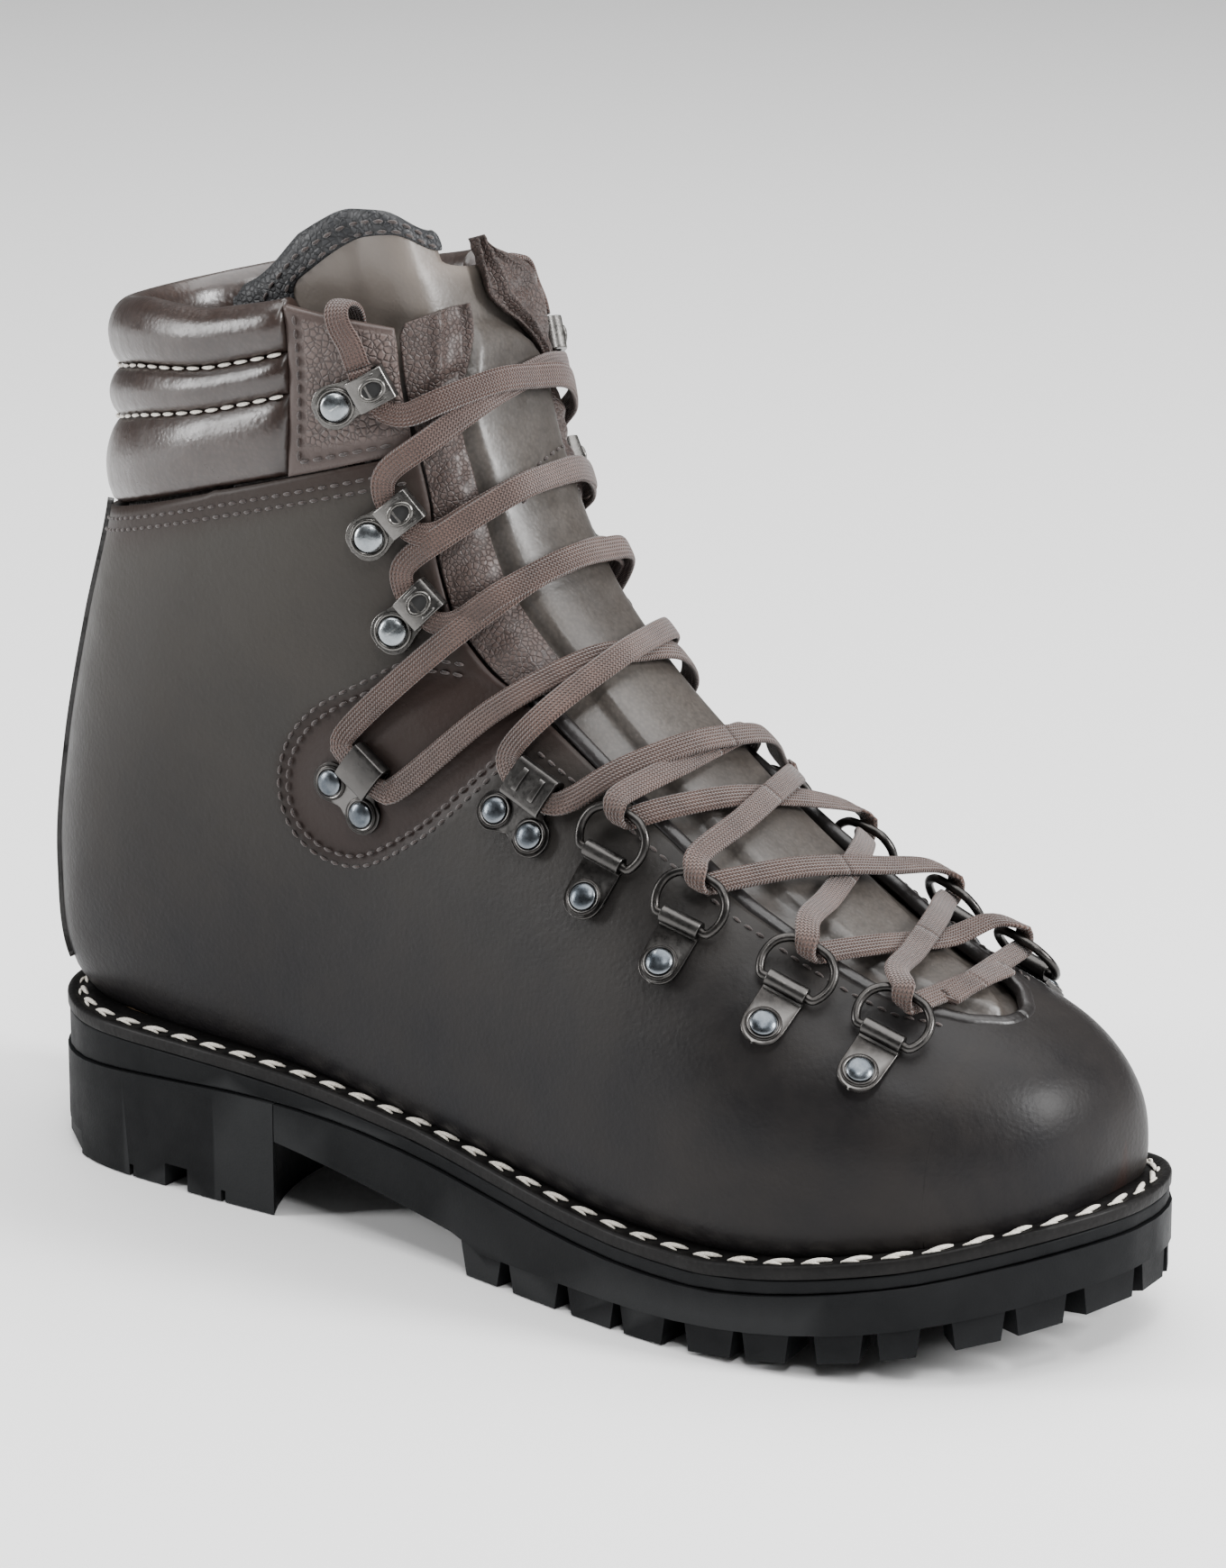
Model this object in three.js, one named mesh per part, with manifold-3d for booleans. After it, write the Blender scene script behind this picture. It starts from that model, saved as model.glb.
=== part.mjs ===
// Mountaineering boot for the right foot: a welted leather upper on a lugged rubber sole, laced
// over D-rings and hooks. Millimetres, +X towards the toe, +Y towards the inner side of the foot,
// +Z up. The origin is on the floor, under the middle of the sole.
import * as THREE from 'three';
import { mergeVertices } from 'three/addons/utils/BufferGeometryUtils.js';
import Module from 'manifold-3d';

const wasm = await Module();
wasm.setup();

// ---- driving dimensions ----------------------------------------------------------------------
const SOLE_LENGTH = 312;
const SOLE_WIDTH = 111.5;
const GAP = 0.3;                 // clearance between pieces that touch
const WELT_THICKNESS = 3.5;
const WELT_WIDTH = 11;
const LUG_DEPTH = 7;
const LUG_REACH = 15;            // how far a side lug runs in under the sole
const BREAST_X = -66;            // front of the heel block at its sides
const BREAST_HOLLOW = 12;        // how far its curved front runs back in the middle
const WAIST_END_X = -4;          // where the forefoot lugs start
const WAIST_BOTTOM = [19.5, 9.5];
const SPRING_START_X = 50;       // the tread lifts off the floor from here to the toe
const TOE_SPRING = 14.8;

const LEATHER = 2.4;             // thickness of the upper
const STIFFENER = [2.9, 4.4];    // depth of toe puff, heel counter and ankle padding
const LINING = [4.7, 5.9];
const COLLAR_BULGE = 2.4;
const COLLAR_DEPTH = 3.6;
const TONGUE_THICKNESS = 3.4;
const PIPING_RADIUS = 1.5;

const WIRE_RADIUS = 1.1;
const RING_REST_TILT = 12;       // degrees, ring lifted off the leather at rest
const RING_PIVOT_HEIGHT = 2.8;
const LACE_WIDTH = 6.2;
const LACE_THICKNESS = 1.6;

// ---- shape of the boot -----------------------------------------------------------------------
// Sole outline seen from above, clockwise from the heel, a smooth closed curve through the points.
const SOLE_OUTLINE = [
  [-156, 0], [-149, -21.5], [-128, -37], [-92, -40.5], [-50, -41], [-10, -45], [30, -52],
  [65, -56.3], [95, -54.7], [121, -46], [141, -28.6], [153, -7], [156, 12], [150, 30.7],
  [134, 45], [108, 53.2], [78, 55.2], [48, 51], [16, 43], [-18, 37], [-54, 36], [-92, 38],
  [-128, 36], [-149, 21.5],
];

// Height of the welt's upper face along the boot.
const WELT_LINE = [
  [-156, 39.6], [-110, 39.4], [-70, 38.2], [-20, 33.6], [10, 29], [40, 25.2], [60, 24.2],
  [80, 24.8], [120, 31.2], [156, 38.7],
];

// Thickness of the midsole wedge along the boot.
const MIDSOLE_LINE = [[-156, 11], [-76, 5], [-40, 3.6], [156, 3.4]];

// The boot's outer skin is a loft through these stations, from the toe tip (first) to the top of
// the shaft (last). Each station is a flattened oval between a front point and a back point:
// front x, front z, back x, back z, half width outside, half width inside, middle y,
// where along front-back it is widest, and how square its back and front halves are.
const STATIONS = [
  [148, 50, 148, 50, 0.01, 0.01, 12, 0.40, 2.5, 2.2],
  [146, 60, 147, 38, 15, 13, 11.5, 0.42, 3.0, 2.2],
  [140, 69, 141, 28, 29, 22, 10, 0.42, 3.4, 2.3],
  [129, 76, 128, 21, 41, 32, 8, 0.42, 3.6, 2.4],
  [115, 82, 112, 17, 48, 40, 5, 0.42, 3.6, 2.4],
  [97, 89, 92, 15, 52, 46, 2, 0.42, 3.6, 2.4],
  [77, 101, 66, 15, 53, 48, 0, 0.40, 3.6, 2.4],
  [57, 115, 36, 16, 50, 46, -1, 0.38, 3.6, 2.4],
  [38, 130, 4, 20, 45.5, 42, -1, 0.37, 3.6, 2.5],
  [21, 145, -34, 25, 41, 38, -1, 0.37, 3.6, 2.6],
  [6, 160, -76, 29, 38.5, 37, 0, 0.38, 3.4, 2.7],
  [-4, 174, -118, 30, 38.5, 38, 0, 0.42, 3.0, 2.8],
  [-11, 188, -148, 40, 39, 39, 0, 0.46, 2.8, 2.9],
  [-16, 200, -153.4, 68, 40, 40, 0, 0.48, 2.7, 3.0],
  [-19, 210, -152, 100, 40, 40, 0, 0.49, 2.4, 3.0],
  [-22, 220, -145.5, 134, 40, 40, 0, 0.50, 2.2, 3.0],
  [-24, 229, -137, 165, 40.5, 40.5, 0, 0.50, 2.1, 3.0],
  [-26, 237, -133, 192, 41, 41, 0, 0.50, 2.1, 3.0],
  [-28, 243, -131, 220, 42, 41.5, 0, 0.50, 2.1, 3.0],
];
const TOP = STATIONS.length - 1;

// Half width of the lacing throat against the station number.
const THROAT = [
  [3.5, 8], [3.8, 14], [4.5, 20.5], [5.6, 25], [6.4, 27.5], [8, 28], [9.4, 27.5], [11, 29],
  [12.6, 28], [15, 29], [18.6, 30],
];

// The upper's top edge is a slanting line: its height at the back and its rise towards the front.
const UPPER_EDGE = { x: -108, z: 176, rise: 0.27 };

// Lacing rows from the toe up: the station, and the distance of the fitting from the middle.
const ROWS = [
  { kind: 'ring', t: 4.44, y: 31.5 },
  { kind: 'ring', t: 5.6, y: 36 },
  { kind: 'ring', t: 6.85, y: 38 },
  { kind: 'ring', t: 7.9, y: 36.5 },
  { kind: 'lock_hook', t: 8.95, y: 33 },
  { kind: 'ankle_hook', t: 10.62, y: 36.8 },
  { kind: 'speed_hook', t: 11.5, y: 30 },
  { kind: 'speed_hook', t: 12.85, y: 30.5 },
  { kind: 'speed_hook', t: 15.35, y: 32 },
];

// ---- small helpers ---------------------------------------------------------------------------
const V = (x, y, z) => new THREE.Vector3(x, y, z);
const rad = THREE.MathUtils.degToRad;
const { smoothstep } = THREE.MathUtils;

function interpolate(table, x) {
  const last = table.length - 1;
  if (x <= table[0][0]) return table[0][1];
  if (x >= table[last][0]) return table[last][1];
  const k = table.findIndex(([knot]) => knot > x);
  const [x0, y0] = table[k - 1];
  const [x1, y1] = table[k];
  return y0 + (y1 - y0) * (x - x0) / (x1 - x0);
}

// Catmull-Rom blend of four values at s between the second and the third.
function blend(p0, p1, p2, p3, s) {
  const linear = (p2 - p0) * s;
  const square = (2 * p0 - 5 * p1 + 4 * p2 - p3) * s * s;
  const cube = (3 * p1 - p0 - 3 * p2 + p3) * s * s * s;
  return 0.5 * (2 * p1 + linear + square + cube);
}

function signedVolume(points, index) {
  let sum = 0;
  for (let k = 0; k < index.length; k += 3) {
    const [a, b, c] = [points[index[k]], points[index[k + 1]], points[index[k + 2]]];
    sum += a.dot(new THREE.Vector3().crossVectors(b, c));
  }
  return sum / 6;
}

// A closed solid through rings of points: capped at both ends, or joined end to end.
function loft(rings, joined = false) {
  const sides = rings[0].length;
  const points = rings.flat();
  const index = [];
  const spans = joined ? rings.length : rings.length - 1;
  for (let i = 0; i < spans; i += 1) {
    const here = i * sides;
    const next = ((i + 1) % rings.length) * sides;
    for (let j = 0; j < sides; j += 1) {
      const k = (j + 1) % sides;
      index.push(here + j, here + k, next + k, here + j, next + k, next + j);
    }
  }
  if (!joined) {
    for (const first of [true, false]) {
      const ring = first ? rings[0] : rings[rings.length - 1];
      const start = first ? 0 : (rings.length - 1) * sides;
      const centre = ring.reduce((sum, p) => sum.add(p), V(0, 0, 0)).divideScalar(sides);
      points.push(centre);
      for (let j = 0; j < sides; j += 1) {
        const k = (j + 1) % sides;
        const edge = first ? [start + k, start + j] : [start + j, start + k];
        index.push(...edge, points.length - 1);
      }
    }
  }
  if (signedVolume(points, index) < 0) {
    for (let k = 0; k < index.length; k += 3) {
      [index[k], index[k + 1]] = [index[k + 1], index[k]];
    }
  }
  const geometry = new THREE.BufferGeometry().setFromPoints(points);
  geometry.setIndex(index);
  return geometry;
}

function solid(geometry) {
  let shape = geometry.clone();
  shape.deleteAttribute('normal');
  shape.deleteAttribute('uv');
  shape = mergeVertices(shape, 1e-4);
  return new wasm.Manifold(new wasm.Mesh({
    numProp: 3,
    vertProperties: new Float32Array(shape.attributes.position.array),
    triVerts: new Uint32Array(shape.index.array),
  }));
}

function geometryOf(manifold) {
  const mesh = manifold.getMesh();
  const geometry = new THREE.BufferGeometry();
  geometry.setAttribute('position', new THREE.BufferAttribute(mesh.vertProperties, 3));
  geometry.setIndex(new THREE.BufferAttribute(mesh.triVerts, 1));
  return geometry;
}

function block(x0, x1, y0, y1, z0, z1) {
  const box = new THREE.BoxGeometry(x1 - x0, y1 - y0, z1 - z0);
  return solid(box.translate((x0 + x1) / 2, (y0 + y1) / 2, (z0 + z1) / 2));
}

// ---- the outer skin --------------------------------------------------------------------------
// The row before the toe tip is the mirror of the one after it, so that the toe is round.
const tipMirror = STATIONS[1].slice();
[tipMirror[0], tipMirror[1], tipMirror[2], tipMirror[3]] = STATIONS[1].slice(2, 4)
  .concat(STATIONS[1].slice(0, 2));
tipMirror[4] *= -1;
tipMirror[5] *= -1;
const beyondTop = STATIONS[TOP].map((value, k) => 2 * value - STATIONS[TOP - 1][k]);
const KNOTS = [tipMirror, ...STATIONS, beyondTop];

function station(t) {
  const over = Math.max(0, t - TOP);
  const k = Math.min(TOP - 1, Math.floor(Math.min(t, TOP)));
  const s = Math.min(t, TOP) - k;
  const row = KNOTS[0].map((_, c) => blend(KNOTS[k][c], KNOTS[k + 1][c], KNOTS[k + 2][c],
    KNOTS[k + 3][c], s));
  return row.map((value, c) => value + over * (beyondTop[c] - STATIONS[TOP][c]));
}

// Point of the skin at station t and angle phi: 0 at the front, 90 at the outside (-Y).
function skin(t, phi) {
  const [fx, fz, bx, bz, outside, inside, middle, widest, backSquare, frontSquare] = station(t);
  const c = Math.cos(rad(phi));
  const s = Math.sin(rad(phi));
  const power = 2 / (c > 0 ? frontSquare : backSquare);
  const along = Math.abs(c) ** power;
  const across = Math.abs(s) ** power;
  const p = c > 0 ? widest + (1 - widest) * along : widest - widest * along;
  const width = s >= 0 ? -outside * across : inside * across;
  return V(bx + (fx - bx) * p, middle + width, bz + (fz - bz) * p);
}

function skinFrame(t, phi) {
  const dt = 0.02;
  const dphi = 0.4;
  const along = skin(t + dt, phi).sub(skin(t - dt, phi)).normalize();
  const around = skin(t, phi + dphi).sub(skin(t, phi - dphi)).normalize();
  const out = new THREE.Vector3().crossVectors(along, around).normalize();
  return { along, around, out };
}

function below(t, phi, depth) {
  return skin(t, phi).addScaledVector(skinFrame(t, phi).out, -depth);
}

// The angle at which the front half of station t is at the sideways position y.
function angleAt(t, y) {
  const side = y < station(t)[6] ? 1 : -1;
  let low = 0;
  let high = 90;
  for (let k = 0; k < 30; k += 1) {
    const middle = (low + high) / 2;
    const reached = (skin(t, side * middle).y - y) * side;
    if (reached > 0) low = middle;
    else high = middle;
  }
  return side * (low + high) / 2;
}

// The station at which the skin crosses the slanting top edge of the upper, plus a rise.
function edgeStation(phi, rise) {
  let low = 8;
  let high = TOP;
  for (let k = 0; k < 30; k += 1) {
    const t = (low + high) / 2;
    const p = skin(t, phi);
    const edge = UPPER_EDGE.z + UPPER_EDGE.rise * (p.x - UPPER_EDGE.x) + rise;
    if (p.z < edge) low = t;
    else high = t;
  }
  return (low + high) / 2;
}

const throatWidth = (t) => interpolate(THROAT, t);
const throatMiddle = (t) => 0.4 * station(Math.min(t, TOP))[6];

// ---- sole curves -----------------------------------------------------------------------------
const OUTLINE_STEPS = 6;

function rawOutline(s) {
  const n = SOLE_OUTLINE.length;
  const k = Math.floor(s);
  const knot = (i) => SOLE_OUTLINE[(((k + i) % n) + n) % n];
  return [0, 1].map((c) => blend(knot(-1)[c], knot(0)[c], knot(1)[c], knot(2)[c], s - k));
}

const outlineSamples = Array.from({ length: SOLE_OUTLINE.length * OUTLINE_STEPS },
  (_, k) => rawOutline(k / OUTLINE_STEPS));
const outlineRange = [0, 1].map((c) => {
  const values = outlineSamples.map((p) => p[c]);
  return [Math.min(...values), Math.max(...values)];
});

// The outline, fitted exactly to the sole's length and width around the origin.
function outline(s) {
  const size = [SOLE_LENGTH, SOLE_WIDTH];
  const [x, y] = rawOutline(s).map((value, c) => {
    const [low, high] = outlineRange[c];
    return (value - (low + high) / 2) * size[c] / (high - low);
  });
  return V(x, y, 0);
}

function inwards(s) {
  const along = outline(s + 0.05).sub(outline(s - 0.05)).normalize();
  return V(-along.y, along.x, 0);
}

// The two sides of the outline moved inwards: y of the outer and the inner side at each x.
function sides(inset) {
  const points = outlineSamples.map((_, k) => {
    const s = k / OUTLINE_STEPS;
    return outline(s).addScaledVector(inwards(s), inset);
  });
  const xs = points.map((p) => p.x);
  const x0 = Math.min(...xs);
  const x1 = Math.max(...xs);
  const heel = points[xs.indexOf(x0)];
  const toe = points[xs.indexOf(x1)];
  const lean = (p) => heel.y + (toe.y - heel.y) * (p.x - x0) / (x1 - x0);
  const chain = (keep) => points.filter((p) => p === heel || p === toe || keep(p))
    .sort((a, b) => a.x - b.x).map((p) => [p.x, p.y]);
  const outer = chain((p) => p.y < lean(p));
  const inner = chain((p) => p.y > lean(p));
  return { x0, x1, outer: (x) => interpolate(outer, x), inner: (x) => interpolate(inner, x) };
}

function smoothLine(table, x) {
  const last = table.length - 1;
  let k = table.findIndex(([knot]) => knot > x) - 1;
  if (k < 0) k = x <= table[0][0] ? 0 : last - 1;
  const at = (i) => table[Math.min(last, Math.max(0, i))];
  const s = THREE.MathUtils.clamp((x - at(k)[0]) / (at(k + 1)[0] - at(k)[0]), 0, 1);
  return blend(at(k - 1)[1], at(k)[1], at(k + 1)[1], at(k + 2)[1], s);
}

const weltTop = (x) => smoothLine(WELT_LINE, x);
const weltBottom = (x) => weltTop(x) - WELT_THICKNESS;
const midsoleTop = (x) => weltBottom(x) - GAP;
const midsoleBottom = (x) => midsoleTop(x) - interpolate(MIDSOLE_LINE, x);
const rubberTop = (x) => midsoleBottom(x) - GAP;
const springSpan = SOLE_LENGTH / 2 - SPRING_START_X;
const tread = (x) => TOE_SPRING * (Math.max(0, x - SPRING_START_X) / springSpan) ** 2;

function rubberBottom(x) {
  if (x > WAIST_END_X) return tread(x) + LUG_DEPTH;
  const s = (x - BREAST_X) / (WAIST_END_X - BREAST_X);
  return WAIST_BOTTOM[0] + (WAIST_BOTTOM[1] - WAIST_BOTTOM[0]) * s;
}

// A plate with the sole's outline between two heights that change along the boot.
function slab(x0, x1, inset, zTop, zBottom, steps) {
  const edge = sides(inset);
  const from = Math.max(x0, edge.x0 + 0.25);
  const to = Math.min(x1, edge.x1 - 0.25);
  const rings = [];
  for (let k = 0; k <= steps; k += 1) {
    const x = (from + to) / 2 - (to - from) / 2 * Math.cos(Math.PI * k / steps);
    const [a, b] = [edge.outer(x), edge.inner(x)];
    rings.push([V(x, a, zBottom(x)), V(x, a, zTop(x)), V(x, b, zTop(x)), V(x, b, zBottom(x))]);
  }
  return loft(rings);
}

// ---- sole pieces -----------------------------------------------------------------------------
// Side lugs as spans of the outline's point numbers, from the outer waist round the toe.
const LUG_SPANS = [
  [5.15, 5.5], [5.55, 6.0], [6.06, 6.5], [6.54, 6.97], [7.13, 7.6], [7.66, 8.1], [8.3, 8.75],
  [8.85, 9.25], [9.5, 10.0], [10.08, 10.62], [10.8, 11.6], [11.75, 12.45], [12.6, 13.1],
  [13.2, 13.75], [13.95, 14.45], [14.52, 15.0], [15.2, 15.65], [15.72, 16.2], [16.4, 16.85],
  [16.92, 17.4], [17.6, 18.05], [18.12, 18.6],
];
const LUG_DRAFT = 0.045;         // a side lug's foot is narrower than its root, in point numbers
const CENTRE_LUGS = [[16, 9], [36, 10], [56, 11], [76, 12], [96, 11], [116, 9]];

function lug(footPoints, rootPoints) {
  const foot = footPoints.map((p) => V(p.x, p.y, tread(p.x)));
  const root = rootPoints.map((p) => V(p.x, p.y,
    rubberBottom(Math.max(p.x, WAIST_END_X + 1)) + 2));
  return solid(loft([foot, root]));
}

function sideLug([s0, s1]) {
  const corner = (s, inset) => outline(s).addScaledVector(inwards(s), inset);
  const footprint = (a, b) => [corner(a, 0.4), corner(b, 0.4), corner(b, LUG_REACH),
    corner(a, LUG_REACH)];
  return lug(footprint(s0 + LUG_DRAFT, s1 - LUG_DRAFT), footprint(s0, s1));
}

function centreLug(x, reach) {
  const half = 6;
  const footprint = [V(x - half, -reach, 0), V(x + half, -reach / 2, 0),
    V(x + half, reach / 2, 0), V(x - half, reach, 0)];
  return lug(footprint, footprint);
}

function outsole() {
  let body = solid(slab(BREAST_X + GAP, SOLE_LENGTH, 0, rubberTop, rubberBottom, 32));
  for (const span of LUG_SPANS) body = body.add(sideLug(span));
  for (const [x, reach] of CENTRE_LUGS) body = body.add(centreLug(x, reach));
  return geometryOf(body);
}

// Notches in both sides of the heel block: from x, to x, and height.
const HEEL_NOTCH_HEIGHT = 6;
const HEEL_NOTCHES = [[-114, -112.6, 3], [-101.7, -94.2, HEEL_NOTCH_HEIGHT], [-83, -81.6, 3]];

function heelBlock() {
  let body = solid(slab(-SOLE_LENGTH, BREAST_X, 0, rubberTop, () => 0, 26));
  const half = 40;
  const radius = (half ** 2 + BREAST_HOLLOW ** 2) / (2 * BREAST_HOLLOW);
  const breast = new THREE.CylinderGeometry(radius, radius, WAIST_BOTTOM[0] + 5, 64)
    .rotateX(Math.PI / 2)
    .translate(BREAST_X - BREAST_HOLLOW + radius, 0, (WAIST_BOTTOM[0] - 5) / 2);
  body = body.subtract(solid(breast));
  for (const side of [-1, 1]) {
    const cut = (x0, x1, height) => {
      const [y0, y1] = side < 0 ? [-50, -27] : [27, 50];
      return block(x0, x1, y0, y1, -1, height);
    };
    for (const [x0, x1, height] of HEEL_NOTCHES) body = body.subtract(cut(x0, x1, height));
    const corner = new THREE.BoxGeometry(26, 6, 2 * HEEL_NOTCH_HEIGHT).rotateZ(side * rad(40));
    body = body.subtract(solid(corner.translate(-146, side * 27, 0)));
  }
  body = body.subtract(block(-128, -100, -13, 13, -1, HEEL_NOTCH_HEIGHT - 1));
  return geometryOf(body);
}

const midsole = () => slab(-SOLE_LENGTH, SOLE_LENGTH, 0.7, midsoleTop, midsoleBottom, 40);

function welt() {
  const rings = [];
  const count = SOLE_OUTLINE.length * 2;
  for (let k = 0; k < count; k += 1) {
    const s = k * SOLE_OUTLINE.length / count;
    const outer = outline(s).addScaledVector(inwards(s), 0.3);
    const inner = outline(s).addScaledVector(inwards(s), WELT_WIDTH);
    rings.push([
      V(outer.x, outer.y, weltBottom(outer.x)), V(outer.x, outer.y, weltTop(outer.x)),
      V(inner.x, inner.y, weltTop(inner.x)), V(inner.x, inner.y, weltBottom(inner.x)),
    ]);
  }
  return loft(rings, true);
}

const SHANK = { x0: -72, x1: 6, halfWidth: 8, thickness: 1.4 };

function shank() {
  const bottom = (x) => weltTop(x) - GAP - SHANK.thickness;
  const rings = [];
  for (let k = 0; k <= 8; k += 1) {
    const x = SHANK.x0 + (SHANK.x1 - SHANK.x0) * k / 8;
    const w = SHANK.halfWidth;
    const [low, high] = [bottom(x), bottom(x) + SHANK.thickness];
    rings.push([V(x, -w, low), V(x, -w, high), V(x, w, high), V(x, w, low)]);
  }
  return loft(rings);
}

function corkFiller() {
  const top = (x) => weltTop(x) - GAP;
  const body = solid(slab(-SOLE_LENGTH, SOLE_LENGTH, WELT_WIDTH + 1, top, weltBottom, 30));
  const seat = [];
  for (let k = 0; k <= 8; k += 1) {
    const x = SHANK.x0 - 1 + (SHANK.x1 - SHANK.x0 + 2) * k / 8;
    const w = SHANK.halfWidth + GAP;
    const low = weltTop(x) - 2 * GAP - SHANK.thickness - 0.1;
    seat.push([V(x, -w, low), V(x, -w, low + 6), V(x, w, low + 6), V(x, w, low)]);
  }
  return geometryOf(body.subtract(solid(loft(seat))));
}

// ---- skin layers -----------------------------------------------------------------------------
const RINGS = [0.15, 0.6, 1.2, 2, 3, 4, 5, 6, 7, 8, 9, 10, 11, 12, 13, 14, 15, 16, 17];
const SPOKES = 18;

function skinSolid(depth, top) {
  const stations = RINGS.filter((t) => t < top - 0.2).concat(top);
  const rings = stations.map((t) => Array.from({ length: SPOKES },
    (_, j) => below(t, j * 360 / SPOKES, depth)));
  return solid(loft(rings));
}

// A hollow layer of the skin, open at the top, between two depths.
function layer([outer, inner], top) {
  return skinSolid(outer, top).subtract(skinSolid(inner, top + 0.6));
}

// Everything below the welt's upper face.
function underWelt() {
  const reach = 90;
  const rings = [];
  for (let x = -180; x <= 180; x += 8) {
    const z = weltTop(THREE.MathUtils.clamp(x, -SOLE_LENGTH / 2, SOLE_LENGTH / 2)) + GAP + 0.1;
    rings.push([V(x, -reach, -10), V(x, -reach, z), V(x, reach, z), V(x, reach, -10)]);
  }
  return solid(loft(rings));
}

// The wedge of space over the lacing throat, widened on both sides.
function throatCutter(from, widen) {
  const rings = [];
  for (let t = from; t <= TOP + 1.2; t += 0.5) {
    const row = station(t);
    const out = V(row[0] - row[2], 0, row[1] - row[3]).normalize();
    const front = skin(t, 0);
    const half = Math.max(2, throatWidth(Math.max(t, THROAT[0][0])) + widen);
    const middle = throatMiddle(t);
    const corner = (side, height) => {
      const p = front.clone().addScaledVector(out, height);
      return V(p.x, middle + side * half, p.z);
    };
    const reach = 14 + 30 * smoothstep(t, 3.5, 9.5);
    rings.push([corner(-1, -reach), corner(-1, 25), corner(1, 25), corner(1, -reach)]);
  }
  return solid(loft(rings));
}

function aboveUpperEdge(lift = 0) {
  const { x, z, rise } = UPPER_EDGE;
  const line = (px) => z + lift + rise * (px - x);
  const ring = (px) => [V(px, -90, line(px)), V(px, -90, line(px) + 200),
    V(px, 90, line(px) + 200), V(px, 90, line(px))];
  return solid(loft([ring(-220), ring(60)]));
}

function upper() {
  const shell = layer([0, LEATHER], TOP).subtract(underWelt());
  return geometryOf(shell.subtract(aboveUpperEdge()).subtract(throatCutter(3.5, 0)));
}

function lining() {
  const shell = layer(LINING, TOP - 1).subtract(underWelt());
  return geometryOf(shell.subtract(throatCutter(3.2, 11)));
}

function toePuff() {
  const shell = layer(STIFFENER, 5).subtract(underWelt());
  return geometryOf(shell.intersect(block(129, 170, -70, 80, 0, 120)));
}

const heelCounter = () => geometryOf(layer(STIFFENER, TOP)
  .intersect(block(-170, -75, -60, 60, 46, 88)));

const anklePadding = () => geometryOf(layer(STIFFENER, TOP)
  .intersect(block(-170, -80, -60, 60, 92, 200)).subtract(aboveUpperEdge(-3)));

const backstay = () => geometryOf(layer([-1.9, -GAP], TOP)
  .intersect(block(-170, -100, -7.5, 7.5, 42, 200)).subtract(aboveUpperEdge(-1)));

// A board or bed that fills the inside of the boot between two heights above the welt.
function floorPiece(low, high) {
  const plate = slab(-SOLE_LENGTH, SOLE_LENGTH, 5, (x) => weltTop(x) + high,
    (x) => weltTop(x) + low, 30);
  return geometryOf(solid(plate).intersect(skinSolid(LINING[1] + GAP, TOP)));
}

// A patch of a skin layer: stations from start to end at each angle, between two depths.
function patch({ angles, start, end, outer, inner, steps }) {
  const depthAt = (depth, u, phi, t) => (typeof depth === 'function' ? depth(u, phi, t) : depth);
  const rings = angles.map((phi) => {
    const [t0, t1] = [start(phi), end(phi)];
    const side = (depth, reverse) => Array.from({ length: steps + 1 }, (_, k) => {
      const u = reverse ? 1 - k / steps : k / steps;
      const t = t0 + (t1 - t0) * u;
      return below(t, phi, depthAt(depth, u, phi, t));
    });
    return [...side(outer, false), ...side(inner, true)];
  });
  return loft(rings);
}

const spread = (from, to, count) => Array.from({ length: count + 1 },
  (_, k) => from + (to - from) * k / count);

// ---- collar, facings and tongue --------------------------------------------------------------
const COLLAR_ANGLES = [75, 285];
// Heights of the seams between the collar's three rolls, as shares from its lower edge to its top.
const COLLAR_SEAMS = [0, 0.44, 0.7, 1];

function collarRoll(k) {
  const lower = (phi) => edgeStation(phi, 1);
  const top = (phi) => TOP - 0.36 * smoothstep(Math.abs(phi - 180), 55, 105);
  const at = (share, phi) => lower(phi) + (top(phi) - lower(phi)) * share;
  const margin = 0.012;
  return patch({
    angles: spread(...COLLAR_ANGLES, 14),
    start: (phi) => at(COLLAR_SEAMS[k] + margin, phi),
    end: (phi) => at(COLLAR_SEAMS[k + 1] - margin, phi),
    outer: (u) => 0.4 - COLLAR_BULGE * Math.sin(Math.PI * u) ** 0.7,
    inner: COLLAR_DEPTH,
    steps: 3,
  });
}

// Skin angle on one side (1 outer, -1 inner) at a distance from the middle of the throat.
const sideAngle = (side, t, distance) => angleAt(t, throatMiddle(t) - side * distance);

// A strip along the throat: distances from its middle at each station, between two depths.
function throatStrip({ side, stations, near, far, outer, inner }) {
  const rings = stations.map((t) => {
    const angles = spread(near(t), far(t), 4).map((distance) => sideAngle(side, t, distance));
    return [
      ...angles.map((phi) => below(t, phi, outer)),
      ...angles.slice().reverse().map((phi) => below(t, phi, inner)),
    ];
  });
  return loft(rings);
}

// The facings' top edge drops from the collar towards the throat.
const FACING_TOP = TOP - 0.35;
const FACING_DROP = 1.3;

function facingPanel(side) {
  const rings = [];
  for (const share of spread(0, 1, 5)) {
    const ring = [];
    const corner = (mix, depth) => {
      const near = sideAngle(side, 15.5, throatWidth(15.5) + 0.3);
      const phi = near + (side * 73.5 - near) * mix;
      const low = edgeStation(phi, 1);
      const t = low + (FACING_TOP - FACING_DROP * (1 - mix) - low) * share;
      const edge = sideAngle(side, t, throatWidth(t) + 0.3);
      return below(t, edge + (side * 73.5 - edge) * mix, depth);
    };
    for (const mix of spread(0, 1, 3)) ring.push(corner(mix, 0));
    for (const mix of spread(1, 0, 3)) ring.push(corner(mix, LEATHER));
    rings.push(ring);
  }
  return loft(rings);
}

// How far a gusset reaches in from the facing. Near the top the outer one is a wide flap, and the
// inner one runs on past the middle, where its corner stands up above the rim.
function gussetReach(side, t) {
  if (side < 0) return 9 + 24 * smoothstep(t, 14.2, 16.6);
  return 9 + 9 * smoothstep(t, 13.4, 15.8);
}

const GUSSET_CORNER = 0.5;       // height of that corner above the top station

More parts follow.
